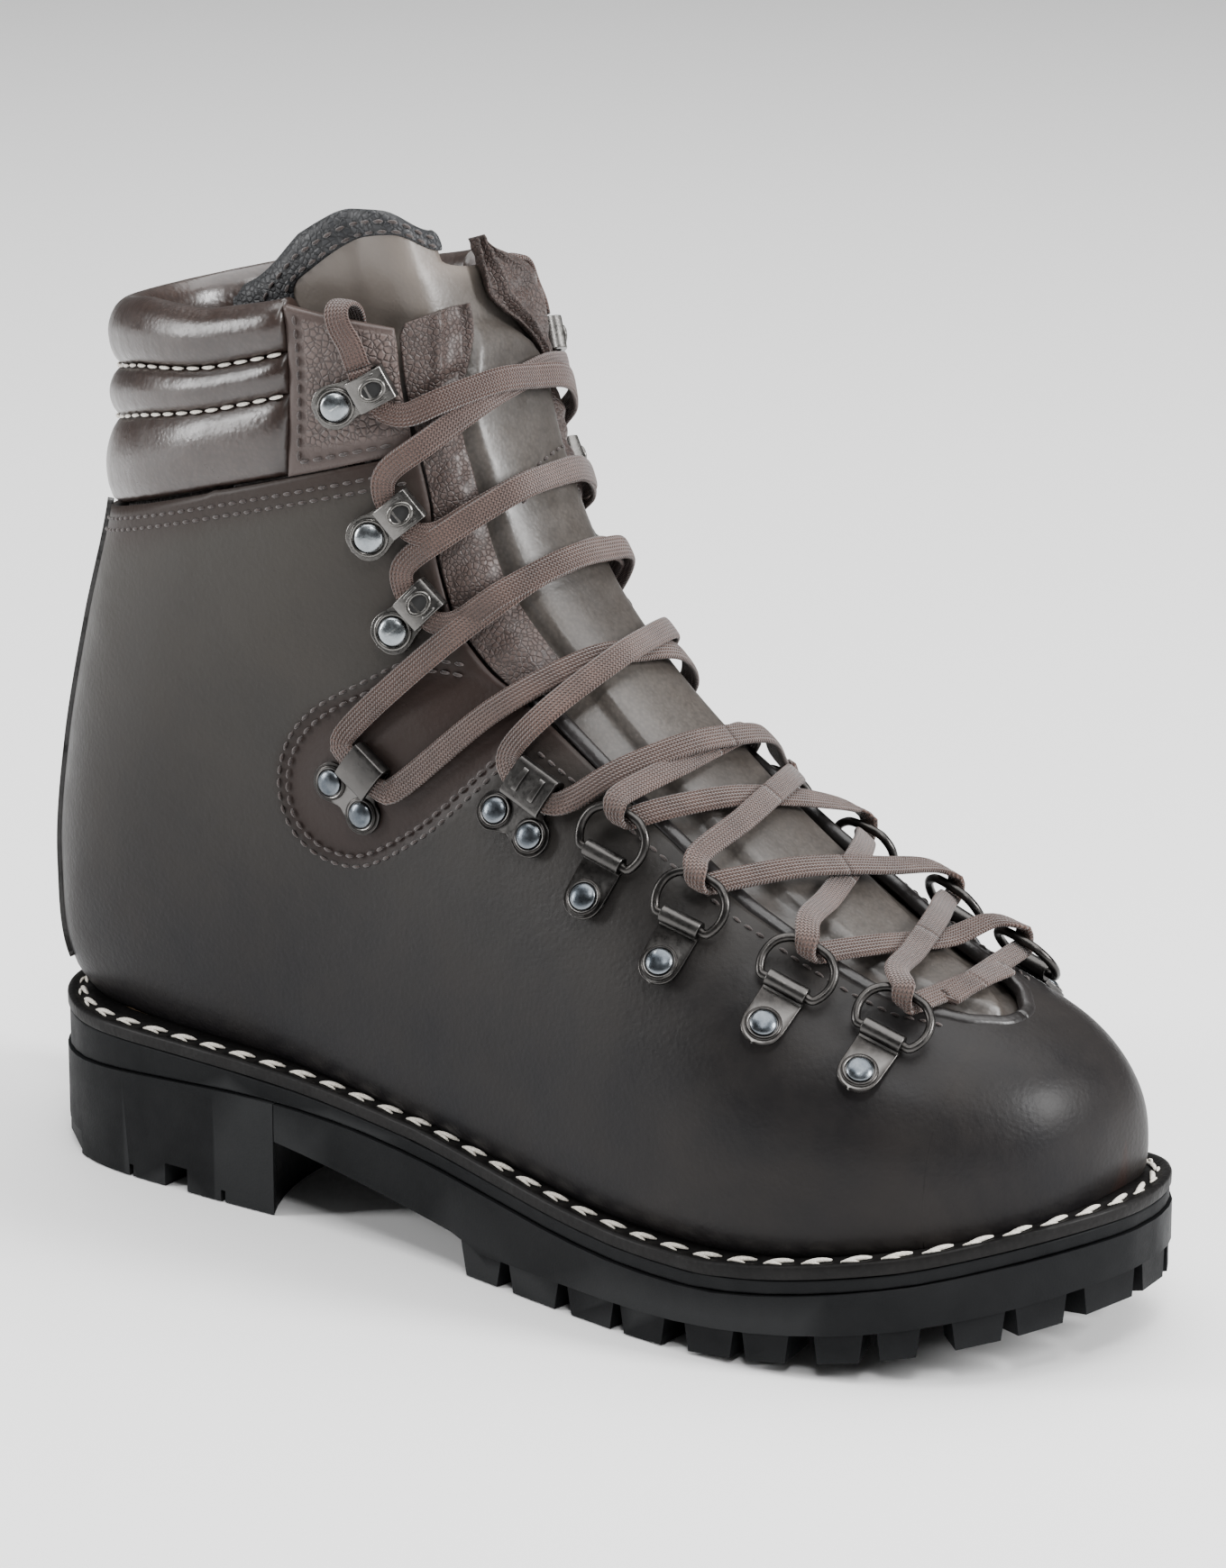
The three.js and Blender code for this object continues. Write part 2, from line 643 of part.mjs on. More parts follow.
const gusset = (side) => throatStrip({
  side,
  stations: spread(9.8, side > 0 ? FACING_TOP - FACING_DROP : TOP + GUSSET_CORNER, 14),
  near: (t) => throatWidth(t) - gussetReach(side, t),
  far: (t) => throatWidth(t) - 0.9 - 28 * smoothstep(t, 16, TOP + GUSSET_CORNER),
  outer: 0.6,
  inner: 2.1,
});

function facingEdge(side) {
  const rings = spread(3.9, 9.5, 12).map((t) => {
    const phi = sideAngle(side, t, throatWidth(t) - PIPING_RADIUS - 0.5);
    const centre = below(t, phi, PIPING_RADIUS - 0.4);
    const { along, out } = skinFrame(t, phi);
    const across = new THREE.Vector3().crossVectors(along, out).normalize();
    return spread(0, 300, 5).map((angle) => centre.clone()
      .addScaledVector(out, PIPING_RADIUS * Math.cos(rad(angle)))
      .addScaledVector(across, PIPING_RADIUS * Math.sin(rad(angle))));
  });
  return loft(rings);
}

// The tongue's top has turned towards the outer side of the shaft, and stands inside the collar.
const TONGUE_BASE = 3.3;
const TONGUE_TOP = [[-1, 18.85], [-0.6, 19.65], [0, 19.2], [0.6, 18.5], [1, 17.6]];

// Point of the tongue: share along its length, mix across it from -1 to 1, and depth in it.
function tonguePoint(share, mix, inset) {
  const t = TONGUE_BASE + (smoothLine(TONGUE_TOP, mix) - TONGUE_BASE) * share;
  const tongueHalf = Math.min(throatWidth(t) + 5.5, 12 + 11 * Math.max(0, t - TONGUE_BASE));
  const y = throatMiddle(t) - mix * tongueHalf;
  const free = throatWidth(t) - Math.abs(mix * tongueHalf);
  const turned = smoothstep(t, 15.8, 18);
  const phi = angleAt(t, y) * (1 - turned) + (52 + 42 * mix) * turned;
  const reach = gussetReach(Math.sign(mix), t);
  const raised = smoothstep(free, reach + 0.6, reach + 4);
  const lift = raised * (1 - smoothstep(t, 15, 15.9));
  const away = smoothstep(t, 14.5, 16.5) * smoothstep(phi, 20, 50);
  return below(t, phi, 3.5 - 2.9 * lift + 9 * away + inset);
}

function tongue() {
  const across = spread(-1, 1, 8);
  return loft(spread(0, 1, 24).map((share) => [
    ...across.map((mix) => tonguePoint(share, mix, 0)),
    ...across.slice().reverse().map((mix) => tonguePoint(share, mix, TONGUE_THICKNESS)),
  ]));
}

// A cord of leather along the tongue's top edge.
function tongueBinding() {
  const radius = 1.9;
  const rings = spread(-1, 1, 14).map((mix) => {
    const centre = tonguePoint(1, mix, TONGUE_THICKNESS / 2);
    const lower = tonguePoint(0.96, mix, TONGUE_THICKNESS / 2);
    const up = centre.clone().sub(lower).normalize();
    const ahead = tonguePoint(1, Math.min(1, mix + 0.05), TONGUE_THICKNESS / 2);
    const behind = tonguePoint(1, Math.max(-1, mix - 0.05), TONGUE_THICKNESS / 2);
    const along = ahead.sub(behind).normalize();
    const across = new THREE.Vector3().crossVectors(along, up).normalize();
    centre.addScaledVector(up, radius + 0.6);
    return spread(0, 300, 5).map((angle) => centre.clone()
      .addScaledVector(up, radius * Math.cos(rad(angle)))
      .addScaledVector(across, radius * Math.sin(rad(angle))));
  });
  return loft(rings);
}

// ---- fittings --------------------------------------------------------------------------------
// A fitting sits on the skin: a runs up the boot, b away from the throat, c off the leather.
function seatOf(row, side) {
  const { t, y } = ROWS[row];
  const phi = sideAngle(side, t, y);
  const frame = skinFrame(t, phi);
  const c = frame.out;
  const b = frame.around.clone().multiplyScalar(side);
  b.addScaledVector(c, -b.dot(c)).normalize();
  const a = new THREE.Vector3().crossVectors(b, c).normalize();
  const up = a.dot(frame.along) > 0 ? 1 : -1;
  const origin = skin(t, phi);
  const place = (pa, pb, pc) => origin.clone().addScaledVector(a, up * pa)
    .addScaledVector(b, pb).addScaledVector(c, pc);
  const matrix = new THREE.Matrix4().makeBasis(a, b, c).setPosition(origin);
  return { t, phi, a: a.clone().multiplyScalar(up), b, c, origin, place, matrix };
}

// A rivet with a domed head on a plate, centred at b.
function rivet(b, base) {
  const radius = 3.6;
  const profile = [[0, base], [radius, base], [radius, base + 0.6], [2.6, base + 1.5],
    [0, base + 2]];
  const points = profile.map(([r, z]) => new THREE.Vector2(r, z));
  return solid(new THREE.LatheGeometry(points, 10).rotateX(Math.PI / 2).translate(0, b, 0));
}

// A flat plate from a half outline in (a, b), mirrored, between two heights.
function plate(half, low, high) {
  const mirrored = half.slice().reverse().filter(([a]) => a > 0).map(([a, b]) => [-a, b]);
  const shape = new THREE.Shape([...half, ...mirrored].map(([a, b]) => new THREE.Vector2(a, b)));
  const geometry = new THREE.ExtrudeGeometry(shape, { depth: high - low, bevelEnabled: false });
  return solid(geometry.translate(0, 0, low));
}

const PLATE_BASE = 0.4;
const PLATE_THICKNESS = 1.3;
const RIVET_B = 10.5;

function ringPlate() {
  const outer = 2.15;
  const barrel = new THREE.Shape().absarc(0, RING_PIVOT_HEIGHT, outer, 0, 2 * Math.PI);
  barrel.holes.push(new THREE.Path().absarc(0, RING_PIVOT_HEIGHT, WIRE_RADIUS + 0.35, 0,
    2 * Math.PI));
  const width = 10.5;
  // The barrel is drawn in (b, c) and pushed out along a.
  const turn = new THREE.Matrix4().makeBasis(V(0, 1, 0), V(0, 0, 1), V(1, 0, 0));
  const tube = new THREE.ExtrudeGeometry(barrel, { depth: width, bevelEnabled: false,
    curveSegments: 5 }).translate(0, 0, -width / 2).applyMatrix4(turn);
  const flap = plate([[0, 15.5], [3.6, 14.6], [5.2, 12], [5.2, 1.7], [0, 1.7]], PLATE_BASE,
    PLATE_BASE + PLATE_THICKNESS + 0.6);
  return geometryOf(solid(tube).add(flap).add(rivet(RIVET_B, PLATE_BASE)));
}

const RING_REACH = 11.6;

// The D-ring: a straight bar through the barrel and a round bow towards the throat.
const RING_BOW = [[7, 0], [8.4, -2.8], [8.6, -6], [7.4, -9.2], [4.6, -11.4]];

function ringWire() {
  const half = RING_BOW.map(([a, b]) => V(a, b, 0));
  const mirrored = half.slice().reverse().map((p) => V(-p.x, p.y, 0));
  const path = [...half, V(0, -RING_REACH, 0), ...mirrored];
  const count = path.length;
  const rings = path.map((p, k) => {
    const along = path[(k + 1) % count].clone().sub(path[(k + count - 1) % count]).normalize();
    const across = V(-along.y, along.x, 0);
    return spread(0, 300, 5).map((angle) => p.clone()
      .addScaledVector(across, WIRE_RADIUS * Math.cos(rad(angle)))
      .addScaledVector(V(0, 0, 1), WIRE_RADIUS * Math.sin(rad(angle))));
  });
  return loft(rings, true).rotateX(-rad(RING_REST_TILT)).translate(0, 0, RING_PIVOT_HEIGHT);
}

// A hook bent from strip: base on the leather, neck at the throat side, arm over the lace.
function hookStrip(width, reach, gapHeight) {
  const s = 1.3;
  const low = PLATE_BASE;
  const top = low + s + gapHeight;
  const profile = [
    [6, low], [-1.2, low], [-2.6, low + 1.4], [-2.6, top], [-1.4, top + s], [reach, top + s],
    [reach + 1, top + s - 0.4], [reach + 1, top - 0.4], [reach, top], [-0.6, top],
    [-1.3, top - 0.8], [-1.3, low + 1.8], [-0.8, low + s], [6, low + s],
  ];
  const shape = new THREE.Shape(profile.map(([b, c]) => new THREE.Vector2(b, c)));
  const turn = new THREE.Matrix4().makeBasis(V(0, 1, 0), V(0, 0, 1), V(1, 0, 0));
  return solid(new THREE.ExtrudeGeometry(shape, { depth: width, bevelEnabled: false })
    .translate(0, 0, -width / 2).applyMatrix4(turn));
}

function hook(kind) {
  const top = PLATE_BASE + PLATE_THICKNESS;
  if (kind === 'speed_hook') {
    const base = plate([[0, 17.5], [4, 16.2], [5.4, 12.5], [4.2, 8], [4.2, 4], [0, 4]],
      PLATE_BASE, top);
    return geometryOf(hookStrip(8, 7, 3).add(base).add(rivet(12.5, PLATE_BASE)));
  }
  const width = kind === 'lock_hook' ? 12 : 10;
  const base = plate([[0, 17], [3, 17], [8.5, 15.5], [10, 12.5], [8.6, 9.4], [5, 7.6], [5, 4],
    [0, 4]], PLATE_BASE, top);
  const heads = [-5.6, 5.6].map((a) => rivet(12.4, PLATE_BASE).translate([a, 0, 0]));
  return geometryOf(hookStrip(width, 7, 3).add(base).add(heads[0]).add(heads[1]));
}

// ---- lace ------------------------------------------------------------------------------------
const WIRE_B = -RING_REACH * Math.cos(rad(RING_REST_TILT));
const WIRE_C = RING_PIVOT_HEIGHT + RING_REACH * Math.sin(rad(RING_REST_TILT));
const WRAP = WIRE_RADIUS + 0.8 + LACE_THICKNESS / 2;

const hookReach = (row) => (ROWS[row].kind === 'lock_hook' ? 6.5 : 5.5);

// The place on the skin's front at a sideways position and a value of z - x, which grows steadily
// from the toe up the instep and the shaft.
function frontAt(y, rise) {
  let low = 2;
  let high = TOP;
  for (let k = 0; k < 30; k += 1) {
    const t = (low + high) / 2;
    const p = skin(t, angleAt(t, y));
    if (p.z - p.x < rise) low = t;
    else high = t;
  }
  const t = (low + high) / 2;
  return { t, phi: angleAt(t, y) };
}

// Lace points at a fitting: each with the direction that its flat side faces.
function lacePass(row, side) {
  const seat = seatOf(row, side);
  const { b, c, place } = seat;
  if (ROWS[row].kind === 'ring') {
    return spread(-90, 90, 4).map((angle) => {
      const [along, up] = [Math.cos(rad(angle)), Math.sin(rad(angle))];
      return {
        point: place(angle / 60, WIRE_B + WRAP * along, WIRE_C + WRAP * up),
        face: b.clone().multiplyScalar(along).addScaledVector(c, up),
      };
    });
  }
  const width = hookReach(row);
  const pass = [[-width - 4, -1.5, 2.7], [-width, 3, 3.2], [0, 3.9, 3.3], [width, 3, 3.2]];
  if (row < ROWS.length - 1) pass.push([width + 4, -1.5, 2.7]);
  return pass.map(([pa, pb, pc]) => ({ point: place(pa, pb, pc), face: c.clone() }));
}

// Lace heights along a crossing, from the fitting it leaves to the fitting it reaches.
const OVER = [4.9, 4.5, 4, 3.3];
const UNDER = [2.7, 2.1, 2.3, 2.8];
const LEAVING = { ring: 7.6, lock_hook: 3.8, ankle_hook: 3.6, speed_hook: 3.6 };

function crossing(fromRow, fromSide, toRow, toSide, heights) {
  const leave = lacePass(fromRow, fromSide).pop().point;
  const reach = lacePass(toRow, toSide)[0].point;
  const rises = [LEAVING[ROWS[fromRow].kind], ...heights];
  return spread(0.12, 0.88, 4).map((s, k) => {
    const p = leave.clone().lerp(reach, s);
    const { t, phi } = frontAt(p.y, p.z - p.x);
    return { point: below(t, phi, -rises[k]), face: skinFrame(t, phi).out };
  });
}

// Straight bar of the lace over the bottom of the throat, from one first ring to the other.
function bottomBar() {
  return spread(0.2, 0.8, 3).map((s) => {
    const t = ROWS[0].t - 0.25;
    const y = throatMiddle(t) + (1 - 2 * s) * (ROWS[0].y - 11);
    const phi = angleAt(t, y);
    return { point: below(t, phi, -1.8), face: skinFrame(t, phi).out };
  });
}

function ribbon(path, width, thickness) {
  const rings = [];
  let previous = null;
  path.forEach(({ point, face }, k) => {
    const ahead = path[Math.min(k + 1, path.length - 1)].point;
    const behind = path[Math.max(k - 1, 0)].point;
    const along = ahead.clone().sub(behind).normalize();
    const normal = face.clone().addScaledVector(along, -face.dot(along)).normalize();
    if (previous && normal.dot(previous) < 0) normal.negate();
    previous = normal;
    const across = new THREE.Vector3().crossVectors(along, normal).normalize();
    const corner = (w, h) => point.clone().addScaledVector(across, w * width / 2)
      .addScaledVector(normal, h * thickness / 2);
    rings.push([corner(-1, -1), corner(1, -1), corner(1, 1), corner(-1, 1)]);
  });
  return loft(rings);
}

// The laced part: one lace, from the outer top hook down to the bottom bar and up again. Strands
// that leave the outer first ring lie over the others.
function lace() {
  const last = ROWS.length - 1;
  const climb = (firstSide, heights) => {
    const path = [];
    let side = firstSide;
    for (let row = 0; row < last; row += 1) {
      path.push(...lacePass(row, side));
      path.push(...crossing(row, side, row + 1, -side, heights));
      side = -side;
    }
    path.push(...lacePass(last, side));
    return path;
  };
  const outerFirst = climb(1, OVER);
  const innerFirst = climb(-1, UNDER);
  return ribbon([...outerFirst.reverse(), ...bottomBar(), ...innerFirst], LACE_WIDTH,
    LACE_THICKNESS);
}

// ---- free lace ends --------------------------------------------------------------------------
const TAIL_START = 0.35;         // gap between the laced part and the free end
const TAIL_BOTTOM = 96;
const AGLET_LENGTH = 18;
const AGLET_RADIUS = 2.2;

// Each free end leaves its top hook upwards, goes over the rim and hangs down inside the shaft.
function tailPath(side) {
  const row = ROWS.length - 1;
  const { place, c } = seatOf(row, side);
  const outside = [[16.45, 54], [16.75, 57]].map(([t, phi]) => ({
    point: below(t, side * phi, -1.9),
    face: skinFrame(t, side * phi).out,
  }));
  const rim = skin(17, side * 59);
  const inwardsY = side;
  const over = [[-1.2, 3.2, 0.5], [2.5, 4.9, 0], [7, 3.2, -0.5], [9.4, -1, -1]];
  const top = over.map(([y, z, x], k) => ({
    point: V(rim.x + x, rim.y + inwardsY * y, rim.z + z),
    face: V(0, inwardsY * (k - 1.2), k < 3 ? 1.2 : 0.2).normalize(),
  }));
  const last = top[top.length - 1].point;
  const down = spread(last.z - 10, TAIL_BOTTOM, 10).map((z) => ({
    point: V(last.x - 1, last.y, z),
    face: V(0, inwardsY, 0),
  }));
  const first = [[TAIL_START, 3], [4, 2.4]].map(([a, b]) => ({
    point: place(hookReach(row) + a, b, 3.1),
    face: c.clone(),
  }));
  return [...first, ...outside, ...top, ...down];
}

const laceTail = (side) => ribbon(tailPath(side), LACE_WIDTH, LACE_THICKNESS);

function aglet(side) {
  const path = tailPath(side);
  const end = path[path.length - 1].point;
  return new THREE.CylinderGeometry(AGLET_RADIUS, AGLET_RADIUS, AGLET_LENGTH, 8)
    .rotateX(Math.PI / 2).translate(end.x, end.y, end.z - GAP - AGLET_LENGTH / 2);
}

// ---- assembly --------------------------------------------------------------------------------
const LOOKS = {
  rubber: [0x1d1e20, 0.75, 0], midsole: [0x222325, 0.7, 0], welt: [0x1c1a19, 0.6, 0],
  leather: [0x3c3733, 0.45, 0], collar: [0x33251f, 0.4, 0], facing: [0x4a3a34, 0.6, 0],
  tongue: [0x57524c, 0.35, 0], lining: [0x2b2725, 0.9, 0], board: [0x8a6f4d, 0.9, 0],
  cork: [0xa07a4c, 0.95, 0], steel: [0x8f9296, 0.35, 1], bronze: [0x4d4a44, 0.35, 1],
  nickel: [0xa3a29c, 0.3, 1], lace: [0x6d574c, 0.85, 0], trim: [0x2a2523, 0.5, 0],
};

const boot = new THREE.Group();

function add(name, geometry, look, matrix) {
  const [color, roughness, metalness] = LOOKS[look];
  const mesh = new THREE.Mesh(geometry,
    new THREE.MeshStandardMaterial({ color, roughness, metalness }));
  mesh.name = name;
  if (matrix) mesh.applyMatrix4(matrix);
  boot.add(mesh);
}

add('outsole', outsole(), 'rubber');
add('heel_block', heelBlock(), 'rubber');
add('midsole', midsole(), 'midsole');
add('welt', welt(), 'welt');
add('cork_filler', corkFiller(), 'cork');
add('shank', shank(), 'steel');
add('insole_board', floorPiece(GAP, 2.3), 'board');
add('footbed', floorPiece(2.6, 7.6), 'lining');
add('upper', upper(), 'leather');
add('backstay', backstay(), 'trim');
add('toe_puff', toePuff(), 'board');
add('heel_counter', heelCounter(), 'board');
add('ankle_padding', anklePadding(), 'lining');
add('lining', lining(), 'lining');
add('collar_roll_lower', collarRoll(0), 'collar');
add('collar_roll_middle', collarRoll(1), 'collar');
add('collar_roll_top', collarRoll(2), 'collar');
add('tongue', tongue(), 'tongue');
add('tongue_binding', tongueBinding(), 'trim');

for (const [word, side] of [['outer', 1], ['inner', -1]]) {
  add(`${word}_facing_panel`, facingPanel(side), 'facing');
  add(`${word}_gusset`, gusset(side), 'facing');
  add(`${word}_facing_edge`, facingEdge(side), 'trim');
  ROWS.forEach(({ kind }, row) => {
    const { matrix } = seatOf(row, side);
    if (kind === 'ring') {
      add(`${word}_ring_plate_${row + 1}`, ringPlate(), 'bronze', matrix);
      add(`${word}_ring_${row + 1}`, ringWire(), 'bronze', matrix);
    } else if (kind === 'speed_hook') {
      add(`${word}_speed_hook_${row + 1}`, hook(kind), 'nickel', matrix);
    } else {
      add(`${word}_${kind}`, hook(kind), 'bronze', matrix);
    }
  });
}

add('lace', lace(), 'lace');
for (const [word, side] of [['outer', 1], ['inner', -1]]) {
  add(`${word}_lace_end`, laceTail(side), 'lace');
  add(`${word}_aglet`, aglet(side), 'trim');
}

export default boot;
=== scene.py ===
"""Looks of the mountaineering boot: fine meshes and procedural materials for the CAD part.

Lengths in the tables and helpers are millimetres in the part's own frame: +X towards the toe, +Y
towards the inner side of the foot, +Z up. Meshes are made in metres.
"""

import math

import bmesh
import bpy
import numpy as np
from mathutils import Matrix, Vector


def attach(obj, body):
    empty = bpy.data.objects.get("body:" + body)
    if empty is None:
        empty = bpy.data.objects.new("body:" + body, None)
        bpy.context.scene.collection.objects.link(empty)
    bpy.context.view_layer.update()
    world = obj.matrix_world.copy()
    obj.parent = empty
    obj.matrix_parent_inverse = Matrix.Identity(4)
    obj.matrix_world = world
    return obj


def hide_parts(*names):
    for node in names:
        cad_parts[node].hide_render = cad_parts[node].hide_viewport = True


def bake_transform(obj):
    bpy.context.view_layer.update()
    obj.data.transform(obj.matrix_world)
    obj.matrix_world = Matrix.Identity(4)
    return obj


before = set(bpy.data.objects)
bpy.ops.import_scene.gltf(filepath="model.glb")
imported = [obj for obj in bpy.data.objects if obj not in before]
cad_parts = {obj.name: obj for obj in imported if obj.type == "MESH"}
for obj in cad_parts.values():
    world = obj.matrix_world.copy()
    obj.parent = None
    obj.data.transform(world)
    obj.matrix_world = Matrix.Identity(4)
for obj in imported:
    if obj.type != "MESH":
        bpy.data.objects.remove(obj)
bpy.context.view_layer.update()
MM = 0.001
rng = np.random.default_rng(11)

# ---- camera ------------------------------------------------------
AZIMUTH, ELEVATION = math.radians(35.576), math.radians(16.385)
TARGET, DISTANCE, LENS = Vector((0.00934, 0, 0.11543)), 1.41234, 133.93
back = Vector((math.sin(AZIMUTH) * math.cos(ELEVATION), -math.cos(AZIMUTH) * math.cos(ELEVATION),
               math.sin(ELEVATION)))
camera_data = bpy.data.cameras.new("camera")
camera_data.sensor_width = 36
camera_data.lens = LENS
camera_data.clip_end = 50
camera = bpy.data.objects.new("camera", camera_data)
bpy.context.scene.collection.objects.link(camera)
camera.location = TARGET + back * DISTANCE
camera.rotation_mode = "QUATERNION"
camera.rotation_quaternion = (-back).to_track_quat("-Z", "Y")
bpy.context.scene.camera = camera

# ---- the shapes that the CAD part is made from -------------------
SOLE_OUTLINE = np.array([
    [-156, 0], [-149, -21.5], [-128, -37], [-92, -40.5], [-50, -41], [-10, -45], [30, -52],
    [65, -56.3], [95, -54.7], [121, -46], [141, -28.6], [153, -7], [156, 12], [150, 30.7],
    [134, 45], [108, 53.2], [78, 55.2], [48, 51], [16, 43], [-18, 37], [-54, 36], [-92, 38],
    [-128, 36], [-149, 21.5]], float)
SOLE_SIZE = np.array([312, 111.5])
WELT_LINE = np.array([[-156, 39.6], [-110, 39.4], [-70, 38.2], [-20, 33.6], [10, 29], [40, 25.2],
                      [60, 24.2], [80, 24.8], [120, 31.2], [156, 38.7]])
WELT_THICKNESS = 3.5
STATIONS = np.array([
    [148, 50, 148, 50, 0.01, 0.01, 12, 0.40, 2.5, 2.2],
    [146, 60, 147, 38, 15, 13, 11.5, 0.42, 3.0, 2.2],
    [140, 69, 141, 28, 29, 22, 10, 0.42, 3.4, 2.3],
    [129, 76, 128, 21, 41, 32, 8, 0.42, 3.6, 2.4],
    [115, 82, 112, 17, 48, 40, 5, 0.42, 3.6, 2.4],
    [97, 89, 92, 15, 52, 46, 2, 0.42, 3.6, 2.4],
    [77, 101, 66, 15, 53, 48, 0, 0.40, 3.6, 2.4],
    [57, 115, 36, 16, 50, 46, -1, 0.38, 3.6, 2.4],
    [38, 130, 4, 20, 45.5, 42, -1, 0.37, 3.6, 2.5],
    [21, 145, -34, 25, 41, 38, -1, 0.37, 3.6, 2.6],
    [6, 160, -76, 29, 38.5, 37, 0, 0.38, 3.4, 2.7],
    [-4, 174, -118, 30, 38.5, 38, 0, 0.42, 3.0, 2.8],
    [-11, 188, -148, 40, 39, 39, 0, 0.46, 2.8, 2.9],
    [-16, 200, -153.4, 68, 40, 40, 0, 0.48, 2.7, 3.0],
    [-19, 210, -152, 100, 40, 40, 0, 0.49, 2.4, 3.0],
    [-22, 220, -145.5, 134, 40, 40, 0, 0.50, 2.2, 3.0],
    [-24, 229, -137, 165, 40.5, 40.5, 0, 0.50, 2.1, 3.0],
    [-26, 237, -133, 192, 41, 41, 0, 0.50, 2.1, 3.0],
    [-28, 243, -131, 220, 42, 41.5, 0, 0.50, 2.1, 3.0]], float)
TOP = len(STATIONS) - 1
# The upper's top edge rises towards the front: its height at EDGE_BACK, and its slope.
EDGE_HEIGHT, EDGE_SLOPE, EDGE_BACK = 176, 0.27, -108
EDGE_LOWEST = 8.0
THROAT = np.array([[3.5, 8], [3.8, 14], [4.5, 20.5], [5.6, 25], [6.4, 27.5], [8, 28], [9.4, 27.5],
                   [11, 29], [12.6, 28], [15, 29], [18.6, 30]])
THROAT_BOTTOM = 3.36
THROAT_SHIFT = 0.4
GUSSET_BOTTOM = 9.6
PANEL_BACK = 74.6
ROWS = [("ring", 4.44, 31.5), ("ring", 5.6, 36), ("ring", 6.85, 38), ("ring", 7.9, 36.5),
        ("lock_hook", 8.95, 33), ("ankle_hook", 10.62, 36.8), ("speed_hook", 11.5, 30),
        ("speed_hook", 12.85, 30.5), ("speed_hook", 15.35, 32)]
WIRE_RADIUS = 1.1
RING_TILT = math.radians(12)
RING_PIVOT = 2.8
RING_REACH = 11.6
LACE_WIDTH = 6.2
LACE_THICKNESS = 1.6
RING_BLEND = 16
SIDES = (("outer", 1), ("inner", -1))


def full_turn(count):
    """count angles evenly round a circle, in radians."""
    return np.arange(count) * 2 * np.pi / count


def unit(v):
    return v / np.maximum(np.linalg.norm(v, axis=-1, keepdims=True), 1e-9)


def cubic(p0, p1, p2, p3, s):
    """Catmull-Rom value between p1 and p2."""
    return 0.5 * (2 * p1 + (p2 - p0) * s + (2 * p0 - 5 * p1 + 4 * p2 - p3) * s * s
                  + (3 * p1 - p0 - 3 * p2 + p3) * s ** 3)


def smoothstep(x, low, high):
    s = np.clip((x - low) / (high - low), 0, 1)
    return s * s * (3 - 2 * s)


def curve(points, count, closed=False):
    """count points along the smooth curve through the given ones, evenly in its own number."""
    p = np.asarray(points, float)
    n = len(p)
    s = np.linspace(0, n if closed else n - 1, count, endpoint=not closed)
    k = np.minimum(np.floor(s).astype(int), n - 1 if closed else n - 2)
    f = (s - k).reshape((-1,) + (1,) * (p.ndim - 1))
    if closed:
        return cubic(p[(k - 1) % n], p[k % n], p[(k + 1) % n], p[(k + 2) % n], f)
    ends = np.concatenate([[2 * p[0] - p[1]], p, [2 * p[-1] - p[-2]]])
    return cubic(ends[k], ends[k + 1], ends[k + 2], ends[k + 3], f)


def distances(points):
    return np.concatenate([[0], np.cumsum(np.linalg.norm(np.diff(points, axis=0), axis=1))])


def evenly(points, spacing, *others):
    """The polyline sampled evenly along its length, with other arrays carried along."""
    d = distances(points)
    s = np.linspace(0, d[-1], max(2, int(round(d[-1] / spacing)) + 1))
    pick = lambda a: np.stack([np.interp(s, d, a[:, c]) for c in range(a.shape[1])], 1)
    return [pick(np.asarray(a, float)) for a in (points, *others)]


# ---- the outer skin ----------------------------------------------
mirror = STATIONS[1].copy()
mirror[:4] = STATIONS[1][[2, 3, 0, 1]]
mirror[4:6] *= -1
BEYOND = 2 * STATIONS[TOP] - STATIONS[TOP - 1]
KNOTS = np.vstack([mirror, STATIONS, BEYOND])


def station(t):
    """The row of section values at station t, running straight on above the top."""
    t = np.asarray(t, float)
    inside = np.minimum(t, TOP)
    k = np.clip(np.floor(inside).astype(int), 0, TOP - 1)
    s = (inside - k)[..., None]
    row = cubic(KNOTS[k], KNOTS[k + 1], KNOTS[k + 2], KNOTS[k + 3], s)
    return row + np.maximum(0, t - TOP)[..., None] * (BEYOND - STATIONS[TOP])


def skin(t, phi):
    """Point of the skin at station t and angle phi: 0 at the front, 90 at the outside (-Y)."""
    t, phi = np.broadcast_arrays(np.asarray(t, float), np.radians(phi))
    fx, fz, bx, bz, outside, inside, middle, widest, back_sq, front_sq = np.moveaxis(
        station(t), -1, 0)
    c, s = np.cos(phi), np.sin(phi)
    power = 2 / np.where(c > 0, front_sq, back_sq)
    along, across = np.abs(c) ** power, np.abs(s) ** power
    p = np.where(c > 0, widest + (1 - widest) * along, widest - widest * along)
    width = np.where(s >= 0, -outside * across, inside * across)
    return np.stack([bx + (fx - bx) * p, middle + width, bz + (fz - bz) * p], -1)


def skin_frame(t, phi):
    """Directions up the skin, round it and out of it."""
    t, phi = np.asarray(t, float), np.asarray(phi, float)
    along = unit(skin(t + 0.02, phi) - skin(t - 0.02, phi))
    around = unit(skin(t, phi + 0.4) - skin(t, phi - 0.4))
    return along, around, unit(np.cross(along, around))


def below(t, phi, depth):
    """Point at a depth under the skin."""
    out = skin_frame(t, phi)[2]
    return skin(t, phi) - out * np.asarray(depth, float)[..., None]


def bisect(low, high, more):
    """Where more(value) turns from true to false between low and high."""
    for _ in range(26):
        middle = (low + high) / 2
        up = more(middle)
        low, high = np.where(up, middle, low), np.where(up, high, middle)
    return (low + high) / 2


